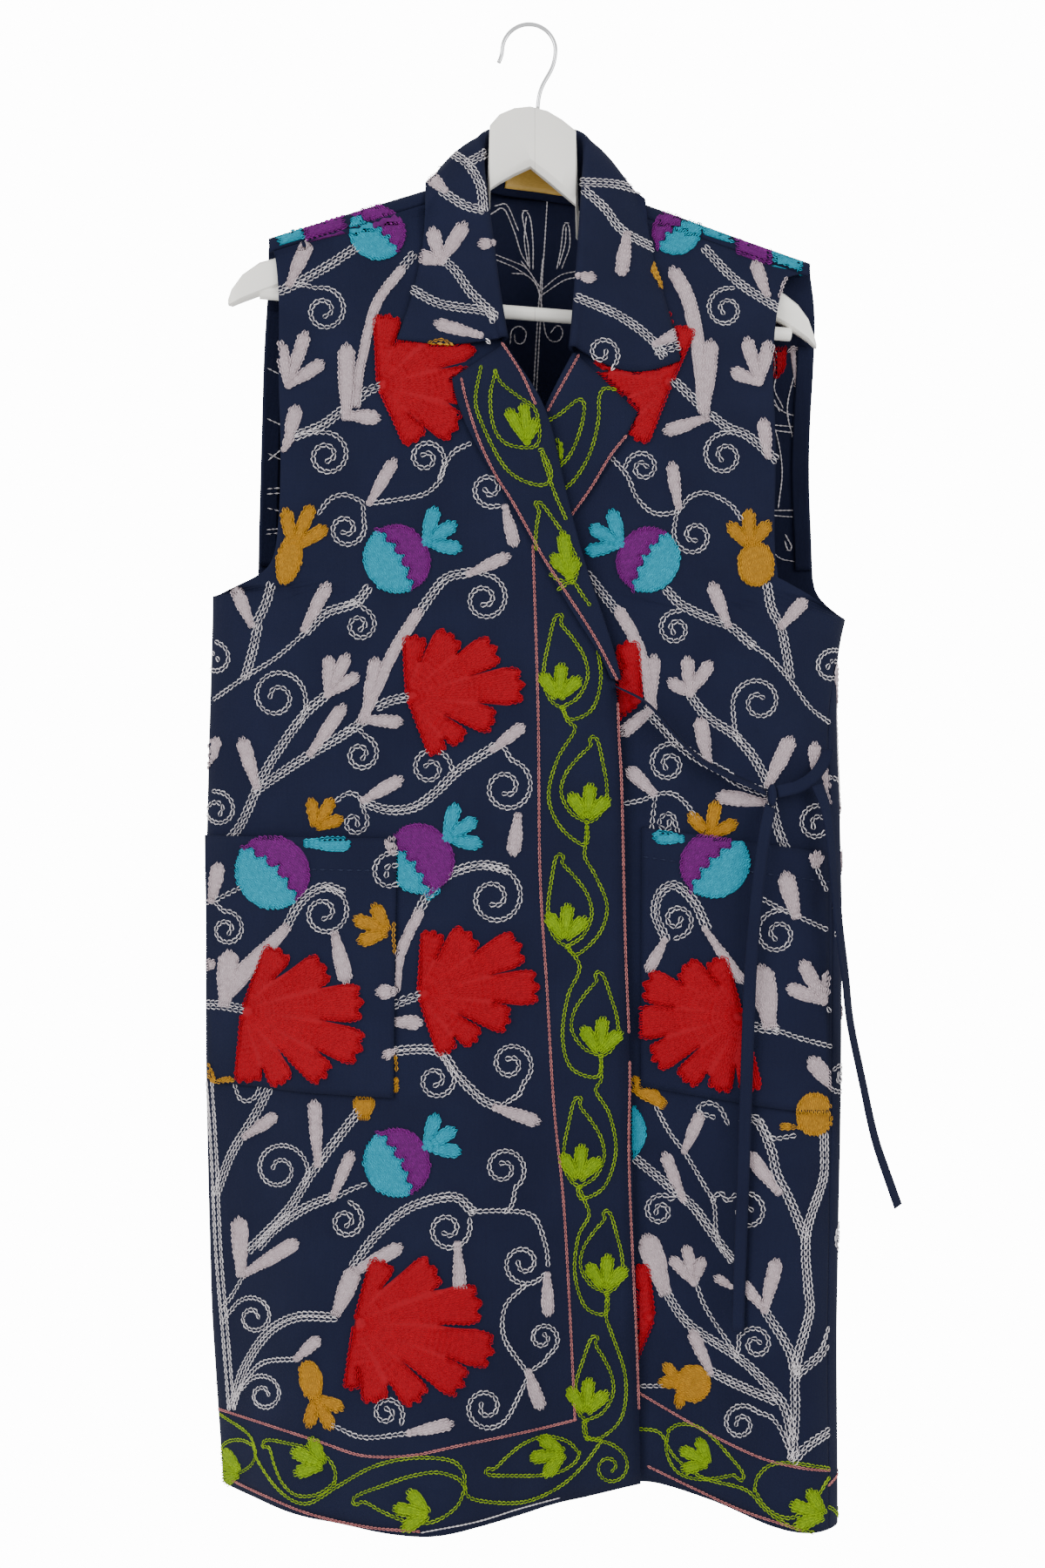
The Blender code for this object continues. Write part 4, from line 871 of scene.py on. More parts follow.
THREADS = {
    # what is worked: its thread, its loop, the pitch of its loops in metres
    "stems": (WHITE, "open_loop", 0.0045),
    "leaves": (LILAC, "tight_loop", 0.0037),
    "carnations": (RED, "tight_loop", 0.0037),
    "cups": (TURQUOISE, "tight_loop", 0.0037),
    "flesh": (PURPLE, "tight_loop", 0.0037),
    "gold": (GOLD, "tight_loop", 0.0037),
    "green": (GREEN, "fine_loop", 0.0037),
    "pink": (PINK, "edge_loop", 0.0032),
    "wrong_side": (WHITE, "plain_stitch", 0.0031),
    "seams": (NAVY, "plain_stitch", 0.0064),
}


def works_on(panel, side="front"):
    """Empty needlework of every kind for one panel."""
    return {use: Needlework(panel, side) for use in THREADS}


def sew_all(where, works):
    for use, (finish, loop, pitch) in THREADS.items():
        sew(use + "_" + where, works[use], finish, loop, pitch)


# ---------------------------------------------------------------- the flowers, fruit and leaves
# Every panel carries the same plants: a fan-shaped carnation, a pomegranate with its cup and crown, a
# small filled trefoil, and the open leaf of the bands, each worked at its own place, size and heading.
PETAL_PLACES = 15
PETAL_SCALLOPS = 3.0
PETAL_SCALLOP_DEPTH = 0.03
PETAL_FALLOFF = 0.10
PETAL_LIFT = 0.0017
PETAL_RIM_LIFT = 0.0013
PETAL_ROW_GAP = 3.9
PETAL_FAN = 0.84
PETAL_EDGE = 5.0
PETAL_RIM_INSET = 3.2
PETAL_RIM_FOOT = 0.1
PETAL_RIM_SLIT = 0.72
PETAL_RIM_TOP = 0.9
PETAL_SIDE_PLACES = 7
# in turn: how deep each slit stops, and where each row starts, in shares of the petal's length
SLIT_DEPTHS = (0.60, 0.84, 0.66, 0.78)
ROW_STARTS = (0.10, 0.52, 0.30, 0.60)
FRUIT_TEETH = 2.5
FRUIT_LINE = 0.24
FRUIT_LINE_SAG = 0.16
FRUIT_LINE_WIDTH = 0.985
FRUIT_LINE_PLACES = 25
FRUIT_RIM_PLACES = 22
FRUIT_TOP = 0.92
CROWN_FOOT = 0.86
CROWN_SIZE = 30.0
CROWN_LEAF_WIDTH = 0.40
CROWN_LEAF_WAIST = 0.42
OVAL_PLACES = 28
BAND_TREFOIL_HEADING = -84.0
BAND_TREFOIL_SIZE = 40.0
OPEN_LEAF = (
    # how far up the leaf, and how far out from its middle line, in shares of its length and its fullness
    (0.0, 0.0), (0.10, 0.75), (0.32, 1.24), (0.55, 1.12), (0.76, 0.62), (0.92, 0.12), (1.0, 0.20),
    (1.02, -0.02), (0.95, -0.22), (0.74, -0.46), (0.48, -0.72), (0.24, -0.76), (0.06, -0.42), (0.0, 0.0),
)


def grow(works, stems, buds, carnations=()):
    """Works a chart's stems, club leaves and carnations."""
    for rows, places, *curled in stems:
        works["stems"].stem(places, rows, *curled)
    for base, tip, width in buds:
        works["leaves"].bud(base, tip, width)
    for base, lobes in carnations:
        carnation(works["carnations"], base, lobes)


def oval(centre, across, down, turned=0.0):
    angles = 2.0 * np.pi * np.arange(OVAL_PLACES) / OVAL_PLACES
    x = across * np.cos(angles)
    y = down * np.sin(angles)
    cos, sin = towards(turned)
    return np.stack([centre[0] + x * cos - y * sin, centre[1] + x * sin + y * cos], axis=1)


def pomegranate(works, centre, radius, heading, crown=(), crown_size=CROWN_SIZE, split=0.0):
    """A round fruit: its cup, its flesh beyond a toothed line, and its crown; split moves that line on."""
    along = towards(heading)
    aside = np.array([-along[1], along[0]])
    middle = np.asarray(centre, dtype=float)
    teeth = np.linspace(-1.0, 1.0, FRUIT_LINE_PLACES)
    bite = FRUIT_LINE * np.abs(np.sin(teeth * FRUIT_TEETH * np.pi))
    reach = radius * (FRUIT_LINE + split - bite - FRUIT_LINE_SAG * teeth**2)
    line = middle + aside * (teeth * radius * FRUIT_LINE_WIDTH)[:, None] + along * reach[:, None]
    rim = np.linspace(0.0, np.pi, FRUIT_RIM_PLACES)[1:-1]
    sides = middle + aside * (np.cos(rim) * radius)[:, None]
    upper = sides + along * (np.sin(rim) * radius * FRUIT_TOP)[:, None]
    lower = sides - along * (np.sin(rim) * radius)[:, None]
    for use, arc in (("flesh", upper), ("cups", lower)):
        works[use].patch(np.vstack([line, arc]), heading + 90.0)
    foot = middle + along * radius * CROWN_FOOT
    for tip_heading in crown:
        tip = foot + crown_size * towards(tip_heading)
        works["cups"].bud(foot, tip, crown_size * CROWN_LEAF_WIDTH, CROWN_LEAF_WAIST)


def carnation(work, base, lobes):
    """A fan of petals on one foot: each is (heading, length, width in degrees), slit from the next."""
    base = np.asarray(base, dtype=float)
    way_round = 1.0 if lobes[1][0] > lobes[0][0] else -1.0
    shares = np.linspace(-1.0, 1.0, PETAL_PLACES)
    scallops = PETAL_SCALLOP_DEPTH * np.cos(shares * PETAL_SCALLOPS * np.pi)
    petals = []
    for heading, length, spread in lobes:
        turns = np.radians(heading + 0.5 * way_round * spread * shares)
        reach = length * (1.0 - PETAL_SCALLOP_DEPTH + scallops - PETAL_FALLOFF * shares**4)
        rim = base + np.stack([np.cos(turns), np.sin(turns)], axis=1) * reach[:, None]
        petals.append((math.radians(heading), way_round * math.radians(spread), length, rim))
    outline = [base]
    for index, (turn, spread, length, rim) in enumerate(petals):
        outline.extend(rim)
        if index + 1 < len(petals):
            depth = SLIT_DEPTHS[index % len(SLIT_DEPTHS)] * min(length, petals[index + 1][2])
            slit = turn + spread / 2.0
            outline.append(base + np.array([math.cos(slit), math.sin(slit)]) * depth)
    work.pad(np.array(outline), PETAL_LIFT)
    for index, (turn, spread, length, rim) in enumerate(petals):
        count = max(int(length * abs(spread) / PETAL_ROW_GAP), 3)
        for row in range(count):
            share = (row + 0.5) / count
            turned = turn + spread * (share - 0.5) * PETAL_FAN
            start = ROW_STARTS[row % len(ROW_STARTS)] * length
            end = np.linalg.norm(rim[int(share * (len(rim) - 1))] - base) - PETAL_EDGE
            way = np.array([math.cos(turned), math.sin(turned)])
            work.row(through([base + way * start, base + way * end]), PETAL_LIFT)
        inner = base + (rim[1:-1] - base) * (1.0 - PETAL_RIM_INSET / length)
        first_foot = PETAL_RIM_FOOT if index == 0 else PETAL_RIM_SLIT
        last_foot = PETAL_RIM_FOOT if index + 1 == len(petals) else PETAL_RIM_SLIT
        sides = [
            base + (end - base) * np.linspace(foot, PETAL_RIM_TOP, PETAL_SIDE_PLACES)[:, None]
            for end, foot in ((inner[0], first_foot), (inner[-1], last_foot))
        ]
        work.row(through(np.vstack([sides[0], inner, sides[1][::-1]])), PETAL_RIM_LIFT)


def open_leaf(
    work, base, tip, fullness, side, inner=None, inner_heading=BAND_TREFOIL_HEADING,
    inner_size=BAND_TREFOIL_SIZE,
):
    """A leaf drawn in one line, up its full side to a hooked tip and back, with a trefoil inside it."""
    base = np.asarray(base, dtype=float)
    along = np.asarray(tip, dtype=float) - base
    aside = np.array([-along[1], along[0]]) * side
    work.row(through([base + along * up + aside * fullness * out for up, out in OPEN_LEAF]))
    if inner:
        work.trefoil(inner, inner_heading, inner_size)


# ---------------------------------------------------------------- the right front's pattern
# The front that laps over, on the wearer's right. Stems rise from the hem and the side; a band of green
# leaves runs down the front edge and along the hem, ruled off by pink lines.
over = works_on("front_over")
OVER_STEMS = (
    # rows, the stem's places, the curl it ends in: centre, radius, start, turns
    (2, ((322, 334), (340, 326), (372, 308), (409, 284))),
    (1, ((340, 326), (356, 328)), ((372, 357), 28, -110, 1.5)),
    (2, ((474, 293), (462, 308), (452, 322))),
    (2, ((409, 462), (420, 450), (436, 444))),
    (2, ((392, 472), (370, 488), (341, 500))),
    (1, ((341, 500), (358, 494)), ((375, 523), 28, -110, 1.5)),
    (1, ((367, 588), (379, 573), (397, 568), (416, 577)), ((397, 607), 23, -25, 1.4)),
    (1, ((424, 578), (460, 573), (490, 566), (508, 548)), ((489, 526), 22, 20, -1.4)),
    (1, ((505, 548), (513, 530), (522, 518), (538, 510))),
    (1, ((580, 584), (570, 582)), ((562, 561), 22, 65, 1.25)),
    (2, ((540, 657), (512, 664), (492, 688), (478, 708))),
    (1, ((545, 656), (566, 662)), ((556, 688), 28, -70, 1.45)),
    (2, ((435, 811), (450, 804), (470, 800))),
    (2, ((422, 676), (408, 692), (374, 704), (353, 724))),
    (1, ((353, 724), (317, 755), (282, 777), (247, 802))),
    (1, ((398, 694), (410, 692)), ((413, 718), 20, -75, 1.4)),
    (2, ((311, 672), (305, 694), (293, 718))),
    (2, ((296, 720), (290, 748), (282, 776))),
    (1, ((240, 741),), ((246, 757), 20, -80, 1.2)),
    (1, ((346, 826), (352, 812)), ((318, 800), 34, 12, -1.5)),
    (2, ((372, 800), (350, 820), (322, 858), (298, 896))),
    (2, ((294, 908), (322, 888), (356, 866), (390, 846), (417, 828))),
    (1, ((400, 838), (412, 838)), ((414, 866), 22, -75, 1.35)),
    (1, ((240, 915),), ((250, 930), 22, -100, 1.4)),
    (2, ((294, 908), (278, 944), (262, 966))),
    (1, ((388, 918), (402, 910), (418, 920)), ((407, 944), 17, -50, 1.2)),
    (2, ((420, 922), (446, 930), (477, 926), (502, 908), (527, 884), (566, 858))),
    (1, ((522, 888), (520, 878)), ((494, 882), 25, 0, -1.4)),
    (1, ((566, 858), (578, 858)), ((581, 904), 33, -80, 1.5)),
    (2, ((481, 1046), (490, 1030), (506, 1010), (530, 998), (556, 993), (580, 998))),
    (1, ((556, 993), (580, 998)), ((567, 1031), 35, -65, 1.45)),
    (2, ((452, 1154), (466, 1148), (481, 1143))),
    (2, ((440, 1212), (460, 1206), (503, 1207), (525, 1234), (552, 1261), (570, 1270))),
    (1, ((500, 1206), (510, 1212)), ((500, 1240), 25, -65, 1.4)),
    (1, ((578, 1268), (596, 1256)), ((586, 1221), 27, 55, -1.45)),
    (2, ((411, 1277), (390, 1304), (357, 1348), (330, 1390), (287, 1434))),
    (2, ((241, 1244), (246, 1325), (251, 1434), (260, 1542), (266, 1615))),
    (2, ((308, 1252), (292, 1282), (266, 1325), (249, 1370))),
    (1, ((270, 1246), (275, 1260), (284, 1264), (294, 1258), (298, 1248))),
    (1, ((350, 1358), (354, 1345)), ((321, 1342), 33, 5, -1.45)),
    (2, ((382, 1374), (352, 1386), (319, 1408), (298, 1430))),
    (1, ((384, 1374), (392, 1378)), ((397, 1402), 22, -75, 1.4)),
    (1, ((418, 1360), (402, 1366), (384, 1376))),
    (1, ((279, 1466), (266, 1488), (256, 1500))),
    (1, ((258, 1516), (266, 1502)), ((291, 1512), 26, 200, 1.4)),
    (2, ((384, 1512), (341, 1512), (308, 1530), (281, 1570), (267, 1614))),
    (2, ((406, 1452), (433, 1417), (471, 1386), (520, 1374), (542, 1390))),
    (1, ((543, 1390), (540, 1400)), ((514, 1411), 27, -20, 1.4)),
    (1, ((543, 1391), (579, 1390), (612, 1396), (626, 1428), (629, 1450))),
    (1, ((582, 1390), (594, 1374)), ((578, 1341), 27, 60, -1.45)),
    (1, ((628, 1462), (626, 1470)), ((601, 1450), 27, 30, 1.4)),
    (1, ((601, 1477), (580, 1500), (579, 1536), (604, 1574))),
    (1, ((608, 1575), (626, 1562)), ((623, 1536), 20, 70, -1.35)),
    (1, ((607, 1578), (594, 1606), (584, 1626)), ((558, 1615), 27, 35, 1.45)),
    (1, ((269, 1606), (278, 1590)), ((303, 1601), 25, 200, 1.4)),
    (1, ((342, 1560), (303, 1564), (281, 1586), (268, 1610))),
    (1, ((382, 1636), (417, 1650), (463, 1646), (496, 1642))),
    (1, ((466, 1646), (464, 1636)), ((444, 1622), 20, 30, -1.3)),
)
OVER_BUDS = (
    # base, tip, width
    ((332, 327), (354, 278), 17), ((331, 443), (322, 394), 16), ((331, 443), (351, 382), 16),
    ((331, 443), (371, 416), 16), ((398, 480), (398, 396), 21),
    ((399, 477), (436, 480), 18), ((330, 507), (341, 466), 17),
    ((326, 516), (334, 500), 12), ((424, 578), (453, 528), 15), ((580, 582), (591, 627), 15),
    ((538, 659), (584, 638), 15),
    ((419, 827), (432, 756), 16), ((418, 826), (462, 829), 16), ((349, 723), (377, 670), 16),
    ((289, 718), (270, 674), 16), ((376, 798), (378, 754), 15), ((376, 798), (399, 752), 15),
    ((376, 798), (411, 775), 15), ((295, 904), (278, 848), 17), ((356, 866), (395, 810), 16),
    ((237, 882), (250, 847), 16), ((417, 919), (461, 894), 16), ((565, 861), (601, 833), 15),
    ((595, 936), (589, 982), 17),
    ((450, 1173), (484, 1174), 17), ((568, 1271), (618, 1288), 16), ((281, 1305), (318, 1280), 15),
    ((365, 1337), (361, 1264), 16), ((382, 1374), (404, 1323), 15), ((277, 1463), (275, 1398), 20),
    ((280, 1463), (342, 1425), 17), ((386, 1508), (408, 1456), 22), ((405, 1462), (461, 1430), 17),
    ((525, 1428), (529, 1492), 16), ((628, 1463), (629, 1510), 15), ((606, 1574), (621, 1617), 16),
    ((340, 1560), (367, 1536), 15), ((470, 1645), (519, 1634), 15),
)
OVER_CARNATIONS = (
    ((434, 444), ((-82, 86, 26), (-56, 104, 26), (-29, 124, 26), (-1, 112, 28), (28, 106, 26),
                  (54, 80, 26))),
    ((467, 800), ((-82, 74, 26), (-54, 92, 26), (-29, 120, 22), (-6, 138, 22), (16, 108, 20),
                  (38, 84, 20), (60, 78, 20))),
    ((480, 1142), ((-76, 78, 24), (-50, 96, 26), (-26, 134, 22), (-4, 142, 20), (16, 112, 20),
                   (38, 88, 22), (62, 78, 22))),
    ((407, 1518), ((-64, 82, 26), (-34, 116, 24), (-9, 150, 22), (12, 166, 18), (30, 148, 18),
                   (50, 120, 20), (74, 98, 22), (92, 80, 16))),
)
grow(over, OVER_STEMS, OVER_BUDS, OVER_CARNATIONS)
for leaf_base, leaf_middle, leaf_tip, leaf_width in (
    ((409, 466), ((414, 422), (424, 376), (436, 342)), (464, 306), 12),
    ((415, 829), ((432, 792), (452, 748)), (482, 700), 14),
    ((454, 1136), ((460, 1094),), (483, 1044), 13),
):
    over["leaves"].bud(leaf_base, leaf_tip, leaf_width, 0.9, leaf_middle)
pomegranate(over, (457, 641), 40, -30, (-72, -32, 8), 43)
pomegranate(over, (483, 985), 41, -38, (-72, -32, 8), 42, -0.35)
pomegranate(over, (457, 1334), 40, -28, (-70, -32, 6), 41)
pomegranate(over, (434, 266), 33, -50)
over["flesh"].patch(((349, 268), (394, 249), (398, 268), (351, 279)), -18)
over["gold"].trefoil((336, 630), -66, 54, 34, width=0.30)
over["gold"].patch(oval((332, 642), 15, 30, 14), 80)
over["gold"].trefoil((362, 950), -58, 38)
over["gold"].trefoil((362, 1604), 62, 40)
over["gold"].patch(oval((357, 1584), 14, 23, -12), 78)
for gold_base, gold_tip, gold_width in (
    ((418, 1283), (418, 1256), 26), ((453, 1214), (451, 1230), 12), ((455, 1240), (451, 1254), 12),
):
    over["gold"].bud(gold_base, gold_tip, gold_width)
BAND_LEAVES = (
    # the leaf's base and tip, how full it is, its full side, and the base of the trefoil inside it
    ((645, 812), (641, 708), 0.24, 1, (641, 802)),
    ((674, 944), (682, 848), 0.27, -1, (674, 940)),
    ((652, 1086), (642, 983), 0.24, 1, (648, 1078)),
    ((690, 1212), (688, 1118), 0.28, -1, (688, 1208)),
    ((666, 1362), (663, 1262), 0.23, 1, (664, 1354)),
    ((696, 1484), (697, 1392), 0.26, -1, (694, 1480)),
    ((674, 1630), (682, 1536), 0.23, 1, (672, 1622)),
)
for band_leaf in BAND_LEAVES:
    open_leaf(over["green"], *band_leaf)
BAND_STEM = (
    (676, 700), (684, 735), (690, 778), (680, 814), (655, 826), (646, 812), (652, 828), (660, 838),
    (640, 872), (630, 915), (644, 950), (672, 970), (674, 944), (672, 972), (672, 985), (684, 1006),
    (697, 1040), (688, 1072), (662, 1096), (651, 1086), (664, 1104), (664, 1118), (652, 1144),
    (646, 1190), (656, 1226), (686, 1236), (690, 1212), (690, 1240), (684, 1252), (700, 1280),
    (707, 1322), (694, 1362), (668, 1376), (664, 1362), (672, 1380), (676, 1396), (664, 1420),
    (660, 1462), (672, 1500), (696, 1508), (697, 1484), (696, 1512), (702, 1530), (718, 1580),
    (714, 1626), (690, 1650), (672, 1648), (671, 1630), (674, 1650),
)
over["green"].stem(BAND_STEM)
over["green"].stem(((674, 1652), (690, 1654), (708, 1660)), 1, ((700, 1684), 23, -60, 1.3))
HEM_LEAVES = (
    ((665, 1668), (560, 1690), 0.20, 1, (648, 1668), 172),
    ((534, 1708), (408, 1722), 0.22, -1, (492, 1738), 190),
    ((384, 1702), (305, 1656), 0.30, -1, (372, 1682), 205),
    ((292, 1660), (244, 1700), 0.30, 1, (276, 1690), 190),
)
for hem_leaf in HEM_LEAVES:
    open_leaf(over["green"], *hem_leaf)
over["green"].stem((
    (690, 1655), (668, 1684), (640, 1708), (602, 1724), (560, 1724), (536, 1716), (532, 1690),
    (515, 1676), (470, 1674), (428, 1684), (388, 1706), (352, 1726), (322, 1712), (296, 1676),
    (287, 1648), (254, 1624),
))
over["pink"].stem((
    (612, 628), (618, 820), (620, 1000), (628, 1135), (636, 1270), (647, 1380), (655, 1520),
    (660, 1628),
))
over["pink"].stem((
    (660, 1630), (620, 1640), (579, 1649), (525, 1660), (471, 1671), (417, 1671), (370, 1656),
    (336, 1645), (290, 1630), (250, 1617),
))
over["pink"].stem((
    (706, 782), (709, 800), (711, 850), (714, 908), (718, 1081), (723, 1217), (722, 1325), (726, 1434),
    (731, 1542), (736, 1688),
))
over["pink"].stem(((262, 1697), (302, 1716), (356, 1738), (422, 1753), (480, 1758)))
over["wrong_side"].stem(((486, 1759), (547, 1747), (596, 1732), (640, 1720)))
sew_all("right_front", over)

# ---------------------------------------------------------------- the shoulders' pattern
# The shoulder seams take in part of the pattern, so its fruit and its patches run on over the top of
# the back.
shoulders = works_on("back")
for shoulder_use, shoulder_patch, shoulder_heading in (
    ("flesh", ((349, 262), (394, 243), (398, 262), (351, 276)), -18),
    ("cups", ((316, 268), (346, 258), (350, 274), (320, 283)), -10),
    ("cups", ((804, 256), (836, 266), (840, 280), (808, 270)), 18),
    ("flesh", ((842, 268), (886, 286), (886, 304), (846, 290)), 20),
    ("cups", ((888, 288), (922, 300), (920, 318), (886, 306)), 20),
):
    shoulders[shoulder_use].patch(shoulder_patch, shoulder_heading)
pomegranate(shoulders, (434, 266), 33, -50)
pomegranate(shoulders, (776, 264), 29, -130)
sew_all("shoulders", shoulders)

# ---------------------------------------------------------------- the left front's pattern
# The front that laps under, on the wearer's left: the same stems, leaves and flowers, turned about and
# drawn anew, with the leaf band again along the hem.
under = works_on("front_under")
grow(under, (
    (2, ((810, 286), (833, 311), (858, 332), (892, 353))),
    (1, ((842, 322), (836, 324)), ((834, 355), 25, -75, -1.4)),
    (2, ((771, 434), (792, 454), (810, 472))),
    (2, ((818, 478), (838, 492), (858, 500), (890, 527))),
    (1, ((826, 486), (822, 492)), ((832, 523), 27, -80, -1.4)),
    (1, ((700, 523), (720, 546), (731, 571), (751, 589), (777, 587), (792, 571), (812, 566), (838, 579),
         (850, 594))),
    (1, ((722, 548), (720, 542)), ((738, 537), 20, 185, 1.4)),
    (1, ((777, 588), (775, 600)), ((797, 615), 24, 195, -1.3)),
    (2, ((667, 651), (690, 679), (710, 704))),
    (2, ((766, 678), (782, 694), (812, 709), (838, 719), (863, 740))),
    (1, ((863, 740), (886, 757), (909, 784), (930, 812), (950, 828))),
    (1, ((786, 697), (776, 699)), ((776, 722), 21, -80, -1.4)),
    (2, ((881, 673), (886, 699), (896, 719), (902, 745), (907, 776))),
    (1, ((966, 742),), ((955, 766), 21, -60, -1.3)),
    (2, ((793, 799), (811, 822), (841, 842), (852, 853), (867, 872), (882, 900))),
    (1, ((848, 848), (842, 832)), ((871, 806), 31, 160, 1.4)),
    (2, ((741, 816), (761, 835), (780, 855), (804, 872), (828, 885), (852, 900), (878, 909))),
    (1, ((778, 854), (770, 852)), ((768, 877), 24, -75, -1.4)),
    (1, ((720, 922), (739, 918), (752, 912), (772, 911), (787, 922), (800, 939))),
    (1, ((752, 916), (749, 944), (748, 956))),
    (1, ((778, 954), (774, 940)), ((766, 946), 13, -60, -0.9)),
    (2, ((886, 916), (889, 935), (895, 957), (905, 980))),
    (1, ((943, 922), (936, 923)), ((938, 946), 22, -80, -1.35)),
    (1, ((754, 1272), (769, 1300), (787, 1324), (809, 1361), (820, 1382), (824, 1423), (840, 1445))),
    (1, ((835, 1288), (826, 1271), (811, 1266), (801, 1275), (818, 1282))),
    (2, ((853, 1284), (870, 1287), (885, 1318), (893, 1350), (906, 1376), (924, 1420))),
    (1, ((875, 1287), (886, 1306), (910, 1304))),
    (2, ((946, 1304), (945, 1352), (928, 1405), (925, 1440), (928, 1480), (929, 1509), (914, 1569),
         (913, 1623), (910, 1672))),
    (2, ((731, 1331), (764, 1358), (796, 1385), (820, 1418), (840, 1445))),
    (1, ((786, 1378), (776, 1368)), ((758, 1390), 20, -45, -1.4)),
    (1, ((819, 1376), (832, 1366)), ((858, 1392), 26, 210, 1.3)),
    (2, ((764, 1482), (791, 1520), (845, 1556), (872, 1580), (899, 1612), (910, 1652))),
    (1, ((799, 1472), (812, 1504), (845, 1553))),
    (2, ((818, 1575), (850, 1591), (888, 1607))),
    (2, ((880, 1507), (905, 1547), (913, 1575))),
    (1, ((846, 1556), (850, 1540)), ((868, 1543), 21, 200, 1.35)),
    (2, ((954, 1524), (943, 1553), (916, 1577))),
    (2, ((957, 1640), (926, 1661), (912, 1676))),
    (1, ((739, 1591), (760, 1591))),
    (1, ((908, 1668), (895, 1638), (878, 1620)), ((851, 1634), 23, -35, -1.4)),
), (
    ((881, 339), (866, 300), 16), ((896, 340), (908, 318), 12), ((809, 474), (816, 391), 20),
    ((812, 480), (763, 496), 16), ((872, 440), (857, 389), 16), ((872, 440), (883, 392), 16),
    ((872, 440), (840, 426), 16), ((882, 524), (876, 481), 16), ((779, 583), (771, 532), 15),
    ((748, 808), (751, 753), 16), ((751, 812), (713, 843), 16), ((836, 718), (817, 670), 16),
    ((896, 720), (925, 688), 16), ((792, 797), (789, 754), 16), ((792, 797), (816, 760), 16),
    ((792, 797), (768, 781), 16), ((813, 874), (803, 824), 18), ((882, 901), (908, 847), 19),
    ((878, 921), (824, 914), 18), ((935, 883), (935, 853), 15), ((957, 930), (949, 884), 13),
    ((751, 911), (721, 882), 17), ((786, 1322), (805, 1277), 15), ((894, 1369), (859, 1324), 17),
    ((785, 1377), (763, 1324), 15), ((764, 1484), (742, 1418), 27), ((797, 1473), (788, 1430), 14),
    ((797, 1473), (771, 1444), 14), ((797, 1473), (807, 1444), 14), ((816, 1576), (794, 1527), 15),
    ((878, 1505), (892, 1446), 17), ((878, 1504), (853, 1472), 14), ((840, 1477), (822, 1466), 11),
), (
    ((771, 440), ((-76, 70, 24), (-100, 84, 24), (-128, 92, 26), (-156, 96, 26), (-184, 98, 26),
                  (-212, 88, 24), (-238, 80, 24))),
    ((737, 806), ((-104, 74, 26), (-130, 90, 26), (-156, 120, 22), (-182, 132, 22), (-208, 110, 22))),
    ((752, 1512), ((-108, 66, 26), (-136, 90, 26), (-168, 112, 30), (-204, 96, 30), (-236, 76, 26))),
))
under["leaves"].bud((808, 472), (771, 308), 17, 0.9, ((804, 418), (797, 372), (788, 338)))
under["leaves"].bud((748, 810), (709, 698), 15, 0.9, ((742, 772), (729, 734)))
pomegranate(under, (743, 642), 38, -150, (-108, -150, 170), 42)
pomegranate(under, (776, 264), 29, -130)
pomegranate(under, (702, 1300), 40, -150)
under["flesh"].patch(((842, 278), (888, 294), (884, 306), (846, 292)), 18)
under["cups"].patch(((888, 294), (925, 308), (917, 316), (884, 305)), 20)
under["gold"].trefoil((861, 628), -92, 42)
under["gold"].patch(oval((868, 648), 22, 26), 80)
under["gold"].trefoil((815, 960), -80, 40, 52)
under["gold"].bud((762, 1268), (725, 1239), 22)
under["gold"].patch(oval((935, 1279), 22, 25), 80)
under["gold"].bud((917, 1294), (895, 1293), 9)
under["gold"].patch(oval((796, 1588), 21, 22), 20)
for gold_tip in ((764, 1566), (758, 1585), (780, 1615)):
    under["gold"].bud((783, 1591), gold_tip, 14)
open_leaf(under["green"], (768, 1642), (852, 1695), 0.28, 1, (814, 1680), 208, 36)
open_leaf(under["green"], (867, 1710), (958, 1692), 0.34, 1, (946, 1740), 200)
under["green"].stem((
    (734, 1640), (758, 1645), (775, 1672), (807, 1696), (856, 1710), (878, 1732), (905, 1751),
    (932, 1759),
))
under["pink"].stem(((734, 1599), (775, 1623), (823, 1650), (878, 1675), (926, 1686), (956, 1688)))
under["pink"].stem(((746, 1684), (800, 1710), (855, 1735), (918, 1756)))
sew_all("left_front", under)

# ---------------------------------------------------------------- the pockets' pattern
# Two patch pockets cut from embroidered cloth, so their stems break off at the edges.
pocket = works_on("pocket_right")
grow(pocket, (
    (1, ((236, 1036), (252, 1036)), ((260, 1067), 22, -100, 1.4)),
    (1, ((250, 1032), (282, 1016))),
    (2, ((328, 1066), (342, 1040), (358, 1024), (376, 1018), (392, 1024))),
    (1, ((376, 1018), (392, 1026)), ((372, 1048), 29, -45, 1.35)),
    (2, ((236, 1153), (254, 1154), (278, 1158))),
    (1, ((460, 978), (452, 977)), ((449, 1002), 24, -70, -1.35)),
), (
    ((243, 1034), (252, 991), 17), ((330, 1064), (256, 1142), 22), ((258, 1153), (264, 1092), 25),
    ((384, 1071), (398, 1128), 18), ((232, 1112), (247, 1104), 14), ((450, 978), (450, 961), 18),
    ((454, 1138), (433, 1139), 18), ((453, 1206), (441, 1213), 12),
), (
    ((278, 1160), ((-58, 86, 28), (-28, 112, 24), (-4, 142, 22), (18, 148, 20), (38, 126, 18),
                   (60, 100, 20), (84, 86, 26))),
))
pomegranate(pocket, (314, 1000), 44, -45)
pocket["cups"].bud((352, 968), (402, 969), 18)
pocket["gold"].trefoil((446, 1070), -158, 42)
for gold_base, gold_tip in (
    ((454, 1092), (456, 1058)), ((246, 1242), (236, 1221)), ((246, 1243), (268, 1240)),
):
    pocket["gold"].bud(gold_base, gold_tip, 11)
pocket["seams"].stem(((236, 996), (345, 998), (454, 1000)))
sew_all("right_pocket", pocket)

